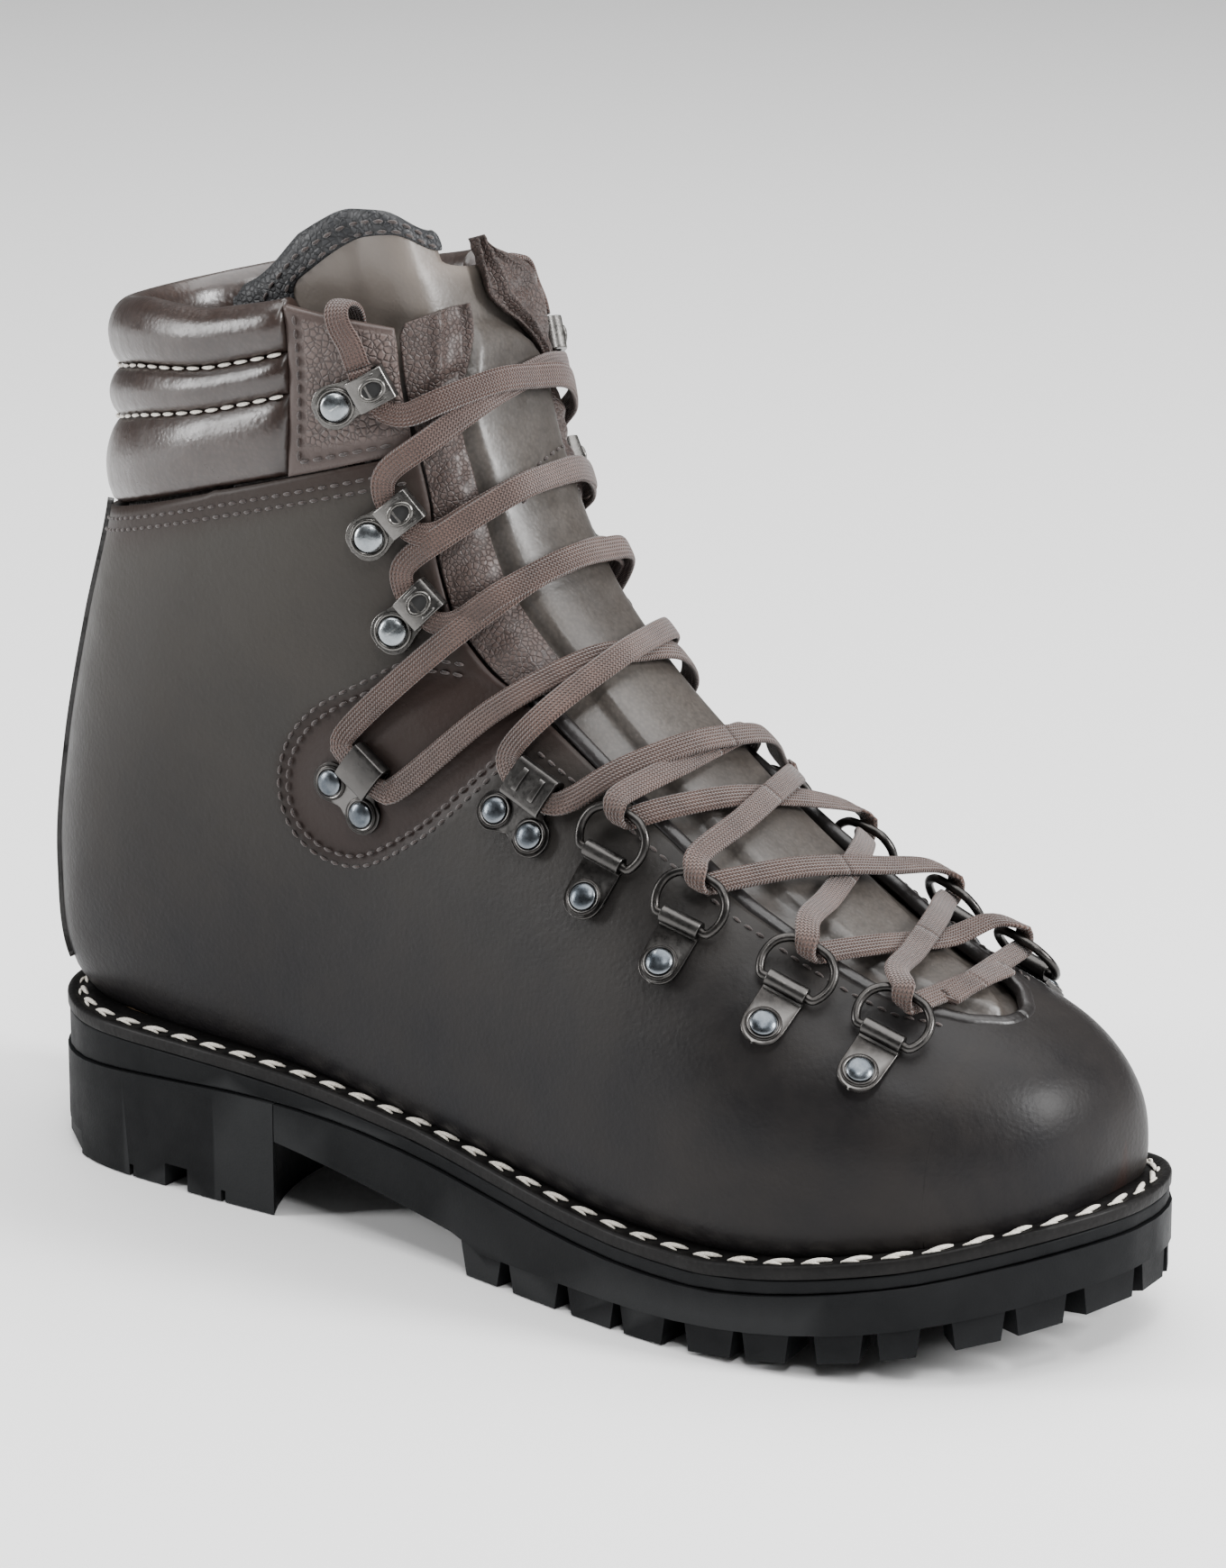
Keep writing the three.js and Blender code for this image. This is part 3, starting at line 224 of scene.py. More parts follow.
def angle_at(t, y):
    """The angle at which the front half of station t is at the sideways position y."""
    t, y = np.broadcast_arrays(np.asarray(t, float), np.asarray(y, float))
    side = np.where(y < station(t)[..., 6], 1, -1)
    return side * bisect(np.zeros(t.shape), np.full(t.shape, 90.0),
                         lambda phi: (skin(t, side * phi)[..., 1] - y) * side > 0)


def edge_station(phi, rise):
    """The station where the skin crosses the slanting top edge of the upper, plus a rise."""
    phi = np.asarray(phi, float)

    def under(t):
        p = skin(t, phi)
        return p[..., 2] < EDGE_HEIGHT + EDGE_SLOPE * (p[..., 0] - EDGE_BACK) + rise
    return bisect(np.full(phi.shape, EDGE_LOWEST), np.full(phi.shape, float(TOP)), under)


def throat_width(t):
    """Half width of the lacing throat, closing in a round end at its bottom."""
    t = np.asarray(t, float)
    first = THROAT[0]
    end = first[1] * np.sqrt(np.clip((t - THROAT_BOTTOM) / (first[0] - THROAT_BOTTOM), 0, 1))
    return np.where(t < first[0], end, np.interp(t, THROAT[:, 0], THROAT[:, 1]))


def throat_middle(t):
    return THROAT_SHIFT * station(np.minimum(t, TOP))[..., 6]


def side_angle(side, t, distance):
    return angle_at(t, throat_middle(t) - side * np.asarray(distance, float))


SEARCH_T, SEARCH_PHI = np.meshgrid(np.linspace(2, TOP, 321), np.linspace(20, 178, 159),
                                   indexing="ij")
SEARCH = skin(SEARCH_T, SEARCH_PHI)


def on_side(points):
    """(t, phi) of places on the outer side given by their x and z."""
    found = []
    for x, z in points:
        d = (SEARCH[..., 0] - x) ** 2 + (SEARCH[..., 2] - z) ** 2
        k = np.unravel_index(np.argmin(d), d.shape)
        found.append((SEARCH_T[k], SEARCH_PHI[k]))
    return np.array(found)


def outline(s):
    """The sole's outline, and the direction into it, at point number s."""
    n = len(SOLE_OUTLINE)

    def raw(s):
        k = np.floor(s).astype(int)
        knots = [SOLE_OUTLINE[(k + i) % n] for i in (-1, 0, 1, 2)]
        return cubic(*knots, (s - k)[:, None])

    samples = raw(np.arange(n * 6) / 6)
    low, high = samples.min(0), samples.max(0)
    fit = lambda p: (p - (low + high) / 2) * SOLE_SIZE / (high - low)
    s = np.asarray(s, float)
    p = fit(raw(s))
    along = unit(fit(raw(s + 0.05)) - fit(raw(s - 0.05)))
    return p, np.stack([-along[:, 1], along[:, 0]], 1)


def smooth_line(line, x):
    k = np.clip(np.searchsorted(line[:, 0], x, side="right") - 1, 0, len(line) - 2)
    at = lambda i: line[np.clip(k + i, 0, len(line) - 1), 1]
    s = np.clip((x - line[k, 0]) / (line[k + 1, 0] - line[k, 0]), 0, 1)
    return cubic(at(-1), at(0), at(1), at(2), s)


def welt_top(x):
    return smooth_line(WELT_LINE, x)


# ---- materials ---------------------------------------------------
class Finish:
    """A procedural material: small helpers that add and join shader nodes."""

    def __init__(self, name, **values):
        self.material = bpy.data.materials.new(name)
        self.material.use_nodes = True
        self.tree = self.material.node_tree
        self.shader = self.tree.nodes["Principled BSDF"]
        self.place = self.node("ShaderNodeTexCoord").outputs["Object"]
        for key, value in values.items():
            self.shader.inputs[key.replace("_", " ")].default_value = value

    def node(self, kind, inputs=None, **settings):
        made = self.tree.nodes.new(kind)
        for key, value in settings.items():
            setattr(made, key, value)
        for key, value in (inputs or {}).items():
            self.feed(made.inputs[key], value)
        return made

    def feed(self, socket, value):
        if isinstance(value, bpy.types.NodeSocket):
            self.tree.links.new(value, socket)
        elif value is not None:
            socket.default_value = value

    def noise(self, scale, detail=3, rough=0.55, vector=None, distortion=0):
        made = self.node("ShaderNodeTexNoise", {"Vector": vector or self.place, "Scale": scale,
                                                "Detail": detail, "Roughness": rough,
                                                "Distortion": distortion})
        return made.outputs["Fac"]

    def cells(self, scale, feature="F1", vector=None):
        made = self.node("ShaderNodeTexVoronoi", {"Vector": vector or self.place, "Scale": scale},
                         feature=feature)
        return made.outputs["Distance"]

    def math(self, operation, a, b=None, c=None):
        made = self.node("ShaderNodeMath", operation=operation)
        for socket, value in zip(made.inputs, (a, b, c)):
            self.feed(socket, value)
        return made.outputs[0]

    def ramp(self, factor, low, high, start=0.3, stop=0.7):
        return self.stops(factor, [(start, low), (stop, high)])

    def stops(self, factor, stops):
        made = self.node("ShaderNodeValToRGB", {"Fac": factor})
        ramp = made.color_ramp
        while len(ramp.elements) < len(stops):
            ramp.elements.new(0.5)
        for element, (place, value) in zip(ramp.elements, stops):
            element.position = place
            rgb = value if isinstance(value, tuple) else (value,) * 3
            element.color = (*rgb, 1)
        return made.outputs["Color"]

    def mix(self, factor, a, b, blend="MIX"):
        made = self.node("ShaderNodeMix", data_type="RGBA", blend_type=blend)
        self.feed(made.inputs[0], factor)
        for socket, value in ((made.inputs[6], a), (made.inputs[7], b)):
            self.feed(socket, (*value, 1) if isinstance(value, tuple) else value)
        return made.outputs[2]

    def attribute(self, name):
        return self.node("ShaderNodeAttribute", attribute_name=name).outputs["Fac"]

    def pointiness(self):
        return self.node("ShaderNodeNewGeometry").outputs["Pointiness"]

    def height(self):
        return self.node("ShaderNodeSeparateXYZ", {"Vector": self.place}).outputs["Z"]

    def bump(self, height, distance, strength=1.0, normal=None):
        inputs = {"Height": height, "Distance": distance, "Strength": strength}
        if normal:
            inputs["Normal"] = normal
        return self.node("ShaderNodeBump", inputs).outputs["Normal"]

    def set(self, colour=None, roughness=None, normal=None):
        for key, value in (("Base Color", colour), ("Roughness", roughness), ("Normal", normal)):
            if value is not None:
                self.feed(self.shader.inputs[key], value)
        return self.material


def waxed_leather():
    f = Finish("waxed_leather", Coat_Weight=0.06, Coat_Roughness=0.3, Specular_IOR_Level=0.12)
    cloud = f.noise(13, 4, 0.6, distortion=0.6)
    mottle = f.noise(55, 5, 0.65)
    base = f.stops(cloud, [(0.3, (0.0045, 0.0044, 0.0058)), (0.52, (0.007, 0.0065, 0.0072)),
                          (0.72, (0.014, 0.012, 0.0115))])
    base = f.mix(f.ramp(mottle, 0.0, 0.35, 0.35, 0.7), base, (0.022, 0.019, 0.017))
    # The shaft is greyer and lighter than the vamp, partly its own tone and partly a painted
    # highlight, and browner where the pieces meet.
    height = f.height()
    shaft_tone_and_painted_highlight = f.math("MULTIPLY", f.ramp(height, 0.0, 1.0, 0.06, 0.2), 0.62)
    base = f.mix(shaft_tone_and_painted_highlight, base, (0.068, 0.062, 0.054))
    base = f.mix(f.math("MULTIPLY", f.attribute("warm"), 0.75), base, (0.022, 0.012, 0.010))
    grain = f.cells(900, "SMOOTH_F1")
    pores = f.noise(2600, 2)
    normal = f.bump(grain, 0.00022, 0.35)
    normal = f.bump(pores, 0.00012, 0.35, normal)
    normal = f.bump(f.noise(90, 3), 0.0008, 0.25, normal)
    rough = f.ramp(mottle, 0.38, 0.56, 0.3, 0.75)
    return f.set(base, rough, normal)


def dressed_leather(name, dark, light, roughness, grain_size, depth, coat=0.25, gloss=0.35,
                    pebbled=False):
    """Leather with a grain of the given size in millimetres, flat where it is marked plain."""
    f = Finish(name, Coat_Weight=coat, Coat_Roughness=0.3, Specular_IOR_Level=gloss)
    tone = f.noise(40, 5, 0.6)
    base = f.ramp(tone, dark, light)
    if pebbled:
        cells = f.cells(1000 / grain_size, "DISTANCE_TO_EDGE")
        creases = f.ramp(cells, 0.0, 1.0, 0.0, 0.22)
        painted_relief_shading = f.ramp(cells, 0.75, 0.0, 0.02, 0.16)
    else:
        cells = f.cells(1000 / grain_size, "SMOOTH_F1")
        creases = f.math("MULTIPLY", cells, -1.0)
        painted_relief_shading = f.ramp(cells, 0.0, 0.5, 0.15, 0.75)
    plain = f.attribute("plain")
    # Painted shade: the colour is darker in the creases of the grain.
    painted_relief_shading = f.math("MULTIPLY", painted_relief_shading, f.math("MULTIPLY_ADD", plain, -0.9, 1.0))
    base = f.mix(painted_relief_shading, base, tuple(0.4 * v for v in dark))
    # Painted highlight: the colour is lighter where the mesh marks it, for light falling on the
    # tongue's top.
    base = f.mix(f.attribute("painted_highlight"), base, tuple(2.0 * v for v in light))
    base = f.mix(f.math("MULTIPLY", plain, 0.8), base, tuple(0.85 * v for v in dark))
    fine = f.noise(2200 / grain_size, 3)
    height = f.math("ADD", creases, f.math("MULTIPLY", fine, 0.35))
    height = f.math("MULTIPLY", height, f.math("MULTIPLY_ADD", plain, -0.85, 1.0))
    normal = f.bump(height, depth * MM, 0.8)
    normal = f.bump(f.noise(110, 3), 0.0007, 0.3, normal)
    rough = f.ramp(f.noise(150, 4), roughness - 0.07, roughness + 0.09)
    return f.set(base, rough, normal)


def rubber():
    f = Finish("sole_rubber", Specular_IOR_Level=0.08)
    tone = f.noise(28, 5, 0.65)
    base = f.ramp(tone, (0.0022, 0.0025, 0.003), (0.006, 0.0065, 0.007))
    dust = f.math("MULTIPLY", f.ramp(f.noise(9, 5, 0.7), 0.0, 1.0, 0.5, 0.75), 0.35)
    base = f.mix(dust, base, (0.016, 0.016, 0.017))
    edge = f.ramp(f.pointiness(), 0.0, 0.5, 0.52, 0.6)
    base = f.mix(edge, base, (0.030, 0.031, 0.032))
    rough = f.ramp(f.noise(70, 5, 0.7), 0.48, 0.68)
    normal = f.bump(f.noise(1500, 3), 0.0002, 0.3)
    normal = f.bump(f.noise(60, 3), 0.0009, 0.25, normal)
    return f.set(base, rough, normal)


def thread(name, dark, light):
    f = Finish(name, Sheen_Weight=0.3)
    twist = f.noise(2400, 2)
    base = f.ramp(twist, dark, light, 0.35, 0.65)
    return f.set(base, f.ramp(twist, 0.6, 0.8), f.bump(twist, 0.0003, 0.6))


def metal(name, dark, light, roughness, worn=(0.45, 0.43, 0.40), metallic=1.0):
    f = Finish(name, Metallic=metallic)
    tone = f.noise(260, 5, 0.7)
    base = f.ramp(tone, dark, light, 0.35, 0.65)
    edge = f.ramp(f.pointiness(), 0.0, 0.9, 0.53, 0.6)
    base = f.mix(edge, base, worn)
    rough = f.ramp(f.noise(700, 4, 0.7), roughness - 0.08, roughness + 0.1)
    return f.set(base, rough, f.bump(f.noise(1800, 2), 0.00006, 0.4))


def woven_lace():
    f = Finish("woven_lace", Sheen_Weight=0.25, Sheen_Roughness=0.5, Specular_IOR_Level=0.25)
    uv = f.node("ShaderNodeTexCoord").outputs["UV"]
    split = f.node("ShaderNodeSeparateXYZ", {"Vector": uv})
    along, across = split.outputs["X"], split.outputs["Y"]
    rib = f.math("SINE", f.math("MULTIPLY", across, 6.9))
    pick = f.math("SINE", f.math("ADD", f.math("MULTIPLY", along, 7.4),
                                 f.math("MULTIPLY", rib, 1.6)))
    height = f.math("ADD", f.math("MULTIPLY", rib, 0.7), f.math("MULTIPLY", pick, 0.55))
    height = f.math("ADD", height, f.math("MULTIPLY", f.noise(3000, 2), 0.6))
    tone = f.noise(120, 4)
    base = f.ramp(tone, (0.054, 0.030, 0.023), (0.100, 0.060, 0.048))
    # Painted shade and highlight: the colour is darker in the weave's hollows and lighter on its
    # crests.
    painted_relief_shading = f.ramp(f.math("MULTIPLY_ADD", height, 0.3, 0.5), 0.42, 1.12, 0.2, 0.7)
    base = f.mix(1.0, base, painted_relief_shading, "MULTIPLY")
    top = f.height()
    base = f.mix(f.math("MULTIPLY", f.ramp(top, 0.0, 1.0, 0.17, 0.24), 0.45), base,
                 (0.070, 0.036, 0.029))
    return f.set(base, f.ramp(tone, 0.75, 0.9), f.bump(height, 0.00042, 0.9))


def textile(name, dark, light, pitch):
    f = Finish(name, Sheen_Weight=0.35, Specular_IOR_Level=0.2)
    weave = f.cells(1000 / pitch, "F1")
    tone = f.noise(60, 4)
    base = f.ramp(tone, dark, light)
    base = f.mix(f.ramp(weave, 0.0, 0.6, 0.2, 0.8), base, tuple(0.4 * v for v in dark))
    return f.set(base, f.ramp(tone, 0.85, 0.95), f.bump(weave, 0.0005, 0.7))


UPPER = waxed_leather()
COLLAR = dressed_leather("collar_leather", (0.022, 0.013, 0.0105), (0.040, 0.026, 0.021), 0.33,
                         1.1, 0.10, 0.3, 0.5)
FACING = dressed_leather("pebbled_leather", (0.058, 0.040, 0.035), (0.125, 0.092, 0.083), 0.5,
                         1.5, 0.30, 0.12, pebbled=True)
GUSSET = dressed_leather("gusset_leather", (0.034, 0.022, 0.019), (0.076, 0.052, 0.045), 0.5,
                         1.2, 0.22, 0.12, pebbled=True)
TONGUE = dressed_leather("tongue_leather", (0.036, 0.030, 0.026), (0.068, 0.058, 0.050), 0.44,
                         0.9, 0.06, 0.15, 0.5)
TRIM = dressed_leather("trim_leather", (0.007, 0.006, 0.006), (0.017, 0.014, 0.0135), 0.40, 1.0,
                       0.12)
BINDING = dressed_leather("binding_leather", (0.012, 0.013, 0.015), (0.034, 0.035, 0.038), 0.5,
                          1.5, 0.22, 0.1, pebbled=True)
WELT = dressed_leather("welt_leather", (0.003, 0.0028, 0.0028), (0.009, 0.008, 0.0077), 0.55, 1.2,
                       0.15, 0.05, 0.12)
RUBBER = rubber()
CREAM_THREAD = thread("cream_thread", (0.52, 0.48, 0.41), (0.84, 0.80, 0.72))
BROWN_THREAD = thread("brown_thread", (0.014, 0.009, 0.008), (0.040, 0.025, 0.021))
BRONZE = metal("bronzed_steel", (0.016, 0.015, 0.0145), (0.038, 0.035, 0.033), 0.33,
               (0.15, 0.145, 0.14))
RIVET = metal("rivet_steel", (0.060, 0.070, 0.082), (0.115, 0.128, 0.142), 0.30,
              (0.40, 0.43, 0.46))
NICKEL = metal("nickel", (0.085, 0.082, 0.077), (0.150, 0.144, 0.136), 0.28, (0.15, 0.145, 0.14))
BRIGHT_RIVET = metal("nickel_rivet", (0.200, 0.220, 0.235), (0.300, 0.322, 0.338), 0.26,
                     (0.5, 0.52, 0.53))
# A near-black material that paints the shade in the hollows of the fittings.
PAINTED_SHADE_FILL = Finish("shadow_recess", Roughness=0.9)
PAINTED_SHADE_FILL = PAINTED_SHADE_FILL.set(PAINTED_SHADE_FILL.ramp(PAINTED_SHADE_FILL.noise(300), 0.004, 0.010))
LACE = woven_lace()
AGLET = metal("aglet_tip", (0.030, 0.020, 0.016), (0.055, 0.038, 0.031), 0.3, (0.10, 0.08, 0.07),
              0.0)
LINING = textile("lining_textile", (0.030, 0.026, 0.024), (0.060, 0.052, 0.047), 1.3)
FOOTBED = textile("footbed_felt", (0.050, 0.050, 0.052), (0.090, 0.090, 0.092), 1.0)
CORK = textile("cork_granules", (0.26, 0.16, 0.08), (0.44, 0.29, 0.16), 2.2)
BOARD = textile("fibre_board", (0.22, 0.15, 0.09), (0.32, 0.23, 0.14), 0.8)
FOAM = textile("foam_padding", (0.30, 0.29, 0.27), (0.42, 0.41, 0.38), 1.1)
STEEL = metal("spring_steel", (0.32, 0.33, 0.35), (0.48, 0.49, 0.51), 0.3)


# ---- meshes ------------------------------------------------------
def grid_faces(rows, columns, first=0, around=False, ends=False, loop=False):
    """Faces between rows of points.

    around closes each row, ends caps the first and last row, loop joins the last to the first.
    """
    faces = []
    span = columns if around else columns - 1
    for i in range(rows - 1):
        for j in range(span):
            k = (j + 1) % columns
            a, b = first + i * columns, first + (i + 1) * columns
            faces.append((a + j, a + k, b + k, b + j))
    if ends:
        faces.append(tuple(first + j for j in reversed(range(columns))))
        faces.append(tuple(first + (rows - 1) * columns + j for j in range(columns)))
    if loop:
        last = first + (rows - 1) * columns
        for j in range(columns):
            k = (j + 1) % columns
            faces.append((last + j, last + k, first + k, first + j))
    return faces


def piece(name, points, faces, materials, slot=None, nodes=(), body="root", uv=None, values=None,
          sharp=None, outwards=True, indices=None):
    """A mesh piece from points in millimetres, placed on a body in place of CAD nodes."""
    mesh = bpy.data.meshes.new(name)
    mesh.from_pydata((np.asarray(points, float) * MM).tolist(), [], faces)
    if indices is not None:
        mesh.polygons.foreach_set("material_index", indices)
    if uv is not None:
        layer = mesh.uv_layers.new(name="UVMap")
        corners = np.zeros(len(mesh.loops), np.int32)
        mesh.loops.foreach_get("vertex_index", corners)
        layer.data.foreach_set("uv", np.asarray(uv, np.float32)[corners].ravel())
    for key, data in (values or {}).items():
        mesh.attributes.new(key, "FLOAT", "POINT").data.foreach_set(
            "value", np.asarray(data, np.float32))
    if outwards:
        work = bmesh.new()
        work.from_mesh(mesh)
        bmesh.ops.recalc_face_normals(work, faces=work.faces)
        work.to_mesh(mesh)
        work.free()
    mesh.polygons.foreach_set("use_smooth", [True] * len(mesh.polygons))
    if sharp:
        mesh.set_sharp_from_angle(angle=math.radians(sharp))
    obj = bpy.data.objects.new(name, mesh)
    bpy.context.scene.collection.objects.link(obj)
    for material in materials if isinstance(materials, (list, tuple)) else [materials]:
        mesh.materials.append(material)
    if body:
        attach(obj, body)
    if nodes:
        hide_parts(*nodes)
    return obj


def tube(name, rings, materials, slot, nodes, **more):
    """A closed piece from rows of ring points, capped at both ends."""
    faces = grid_faces(*rings.shape[:2], around=True, ends=True)
    return piece(name, rings.reshape(-1, 3), faces, materials, slot, nodes, **more)


def soften(obj, width, segments=2, angle=35):
    """Rounded edges on a piece with flat faces."""
    bevel = obj.modifiers.new("edges", "BEVEL")
    bevel.width, bevel.segments = width * MM, segments
    bevel.limit_method, bevel.angle_limit = "ANGLE", math.radians(angle)
    normals = obj.modifiers.new("normals", "WEIGHTED_NORMAL")
    normals.keep_sharp = True
    return obj


def remove_loose(work):
    bmesh.ops.delete(work, geom=[v for v in work.verts if not v.link_faces], context="VERTS")


def thicken(obj, thickness, offset):
    shell = obj.modifiers.new("thickness", "SOLIDIFY")
    shell.thickness, shell.offset = thickness * MM, offset


def sweep(points, faces_up, section):
    """A closed tube: section rows are (across, up) at each path point or one for all of them."""
    p = np.asarray(points, float)
    ahead = np.vstack([p[1:], p[-1:]])
    behind = np.vstack([p[:1], p[:-1]])
    along = unit(ahead - behind)
    up = unit(faces_up - along * np.sum(faces_up * along, 1, keepdims=True))
    across = np.cross(along, up)
    section = np.asarray(section, float)
    if section.ndim == 2:
        section = np.broadcast_to(section, (len(p), *section.shape))
    rings = p[:, None] + across[:, None] * section[..., :1] + up[:, None] * section[..., 1:]
    n = section.shape[1]
    uv = np.stack([np.repeat(distances(p), n), section[..., 0].ravel()], 1)
    return rings.reshape(-1, 3), grid_faces(len(p), n, around=True, ends=True), uv


def round_section(width, height, count=16, power=2.6):
    a = full_turn(count)
    shape = lambda v: np.sign(v) * np.abs(v) ** (2 / power)
    return np.stack([shape(np.cos(a)) * width / 2, shape(np.sin(a)) * height / 2], 1)


def stitches(name, rows, material, length, gap, width, sink=0.1, slant=0.0):
    """Short threads along rows of (points, normals): each dives into the leather at both ends."""
    points, faces = [], []
    rings, around = 7, 6
    bend = np.sin(np.pi * np.linspace(0, 1, rings))
    angles = full_turn(around)
    for line, normals in rows:
        d = distances(line)
        count = int(d[-1] // (length + gap))
        if count < 1:
            continue
        step = d[-1] / count
        for k in range(count):
            s = k * step + gap / 2 + np.linspace(0, step - gap, rings)
            at = np.stack([np.interp(s, d, line[:, c]) for c in range(3)], 1)
            up = unit(np.stack([np.interp(s, d, normals[:, c]) for c in range(3)], 1))
            along = unit(np.gradient(at, axis=0))
            across = unit(np.cross(along, up))
            at = at + across * (slant * np.linspace(-0.5, 0.5, rings))[:, None]
            radius = width / 2 * (0.35 + 0.65 * bend ** 0.6)
            at = at + up * (width * 0.32 * bend - sink)[:, None]
            ring = (at[:, None] + across[:, None] * (np.cos(angles)[:, None] * radius[:, None, None])
                    + up[:, None] * (0.8 * np.sin(angles)[:, None] * radius[:, None, None]))
            faces += grid_faces(rings, around, len(points) * rings * around, True, True)
            points.append(ring.reshape(-1, 3))
    return piece(name, np.vstack(points), faces, material)


def skin_line(tp, side=1, depth=0.0, spacing=0.8):
    """Points and normals along a line of (t, phi) places."""
    t, phi = tp[:, 0], side * tp[:, 1]
    line, normals = below(t, phi, depth), skin_frame(t, phi)[2]
    return evenly(line, spacing, normals)


def beside(row, offset):
    line, normals = row
    across = unit(np.cross(unit(np.gradient(line, axis=0)), normals))
    return line + across * offset, normals


# ---- lace and its free ends --------------------------------------
def seat(row, side):
    """Frame of a fitting: a along the throat, b away from it, c off the leather.

    place() counts a up the boot on both sides.
    """
    _, t, y = ROWS[row]
    phi = float(side_angle(side, t, y))
    along, around, c = skin_frame(t, phi)
    b = unit(around * side - c * np.dot(around * side, c))
    a = np.cross(b, c)
    up = 1 if np.dot(a, along) > 0 else -1
    origin = skin(t, phi)

    def place(pa, pb, pc):
        return origin + a * up * pa + b * pb + c * pc
    return {"a": a, "b": b, "c": c, "origin": origin, "place": place}


SEATS = {(row, side): seat(row, side) for row in range(len(ROWS)) for _, side in SIDES}
WIRE_B = -RING_REACH * math.cos(RING_TILT)
WIRE_C = RING_PIVOT + RING_REACH * math.sin(RING_TILT)
WRAP = WIRE_RADIUS + 0.8 + LACE_THICKNESS / 2
OVER = [4.9, 4.5, 4, 3.3]
UNDER = [2.7, 2.1, 2.3, 2.8]
LEAVING = {"ring": 7.6, "lock_hook": 3.8, "ankle_hook": 3.6, "speed_hook": 3.6}


def hook_reach(row):
    return 6.5 if ROWS[row][0] == "lock_hook" else 5.5


def front_at(y, rise):
    """Station and angle of the front's place at the sideways position y where z - x is rise."""
    low, high = 2.0, float(TOP)
    for _ in range(30):
        t = (low + high) / 2
        p = skin(t, angle_at(t, y))
        if p[2] - p[0] < rise:
            low = t
        else:
            high = t
    return t, float(angle_at(t, y))


def lace_pass(row, side):
    """Lace points through one fitting: round a ring's wire, or under a hook's arm."""
    s = SEATS[row, side]
    if ROWS[row][0] == "ring":
        turns = np.radians([-90, -45, 0, 45, 90])
        return [(s["place"](math.degrees(v) / 60, WIRE_B + WRAP * math.cos(v),
                            WIRE_C + WRAP * math.sin(v)),
                 s["b"] * math.cos(v) + s["c"] * math.sin(v)) for v in turns]
    w = hook_reach(row)
    places = [(-w - 4, -1.5, 2.7), (-w, 3, 3.2), (0, 3.9, 3.3), (w, 3, 3.2)]
    if row < len(ROWS) - 1:
        places.append((w + 4, -1.5, 2.7))
    return [(s["place"](*p), s["c"]) for p in places]


def crossing(row, side, heights):
    """Lace points over the tongue from one row to the other side's next one."""
    leave, reach = lace_pass(row, side)[-1][0], lace_pass(row + 1, -side)[0][0]
    rises = [LEAVING[ROWS[row][0]], *heights]
    found = []
    for share, rise in zip(np.linspace(0.12, 0.88, 5), rises):
        p = leave + (reach - leave) * share
        t, phi = front_at(p[1], p[2] - p[0])
        found.append((below(t, phi, -rise), skin_frame(t, phi)[2]))
    return found


def bottom_bar():
    """The straight stretch of lace over the bottom of the throat."""
    t = ROWS[0][1] - 0.25
    found = []
    for share in np.linspace(0.2, 0.8, 4):
        phi = float(angle_at(t, throat_middle(t) + (1 - 2 * share) * (ROWS[0][2] - 11)))
        found.append((below(t, phi, -1.8), skin_frame(t, phi)[2]))
    return found


def climb(side, heights):
    """Lace points of one climb with the way each faces, and the passes among them.

    A pass is (row, side, number of its first point, number of its last point).
    """
    path, spans = [], []
    for row in range(len(ROWS)):
        start = len(path)
        path += lace_pass(row, side)
        spans.append((row, side, start, len(path) - 1))
        if row < len(ROWS) - 1:
            path += crossing(row, side, heights)
            side = -side
    return path, spans


def lay_lace(points, faces_up, narrow, name, nodes, body="root"):
    """A stretch of flat lace; narrow is how far it is bunched together at each point."""
    width = LACE_WIDTH * (1 - 0.22 * narrow)
    height = LACE_THICKNESS * (1 + 0.12 * narrow)
    section = round_section(1, 1, 18, 3.0)
    section = section[None] * np.stack([width, height], 1)[:, None]
    made, faces, uv = sweep(points, faces_up, section)
    return piece(name, made, faces, LACE, "lace", nodes, body, uv=uv)


def smooth_path(path, spacing=1.4):
    """The lace's middle line, the way it faces, and the number of each point in the path."""
    points, up = np.array([p for p, _ in path]), np.array([f for _, f in path])
    tangent = unit(np.gradient(points, axis=0))
    up = unit(up - tangent * np.sum(up * tangent, 1, keepdims=True))
    for k in range(1, len(up)):
        if np.dot(up[k], up[k - 1]) < 0:
            up[k] *= -1
    number = np.arange(len(points), dtype=float)[:, None]
    count = len(points) * 12
    fine = [curve(a, count) for a in (points, up, number)]
    return evenly(fine[0], spacing, fine[1], fine[2])


def build_lace():
    bar = bottom_bar()
    for word, first, heights in (("outer", 1, OVER), ("inner", -1, UNDER)):
        path, spans = climb(first, heights)
        half_bar = bar[:2] if first > 0 else bar[:1:-1]
        middle = ((bar[1][0] + bar[2][0]) / 2, unit(bar[1][1] + bar[2][1]))
        lead = [middle, *half_bar[::-1]]
        points, up, number = smooth_path(lead + path)
        number = number[:, 0] - len(lead)
        bunched = np.zeros(len(points))
        for row, _, start, end in spans:
            spread = 2.0 if ROWS[row][0] == "ring" else 1.2
            bunched = np.maximum(bunched, np.exp(-((number - (start + end) / 2) / spread) ** 2))
        cuts = [0]
        for k in range(4):
            cut = (spans[k][3] + spans[k + 1][2]) / 2
            cuts.append(int(np.argmin(np.abs(number - cut))))
        cuts.append(len(points) - 1)
        for k in range(len(cuts) - 1):
            part = slice(cuts[k], cuts[k + 1] + 1)
            row, side = spans[k][0], spans[k][1]
            name = f"lace_{word}_climb_{k + 1}"
            if k == len(cuts) - 2:
                lay_lace(points[part], up[part], bunched[part], name, ["lace"])
                continue
            obj = lay_lace(points[part], up[part], bunched[part], name, ["lace"], None)
            s = SEATS[row, side]
            end = s["place"](0, WIRE_B - 1.5, WIRE_C)
            start = end - s["b"] * RING_BLEND
            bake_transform(obj)


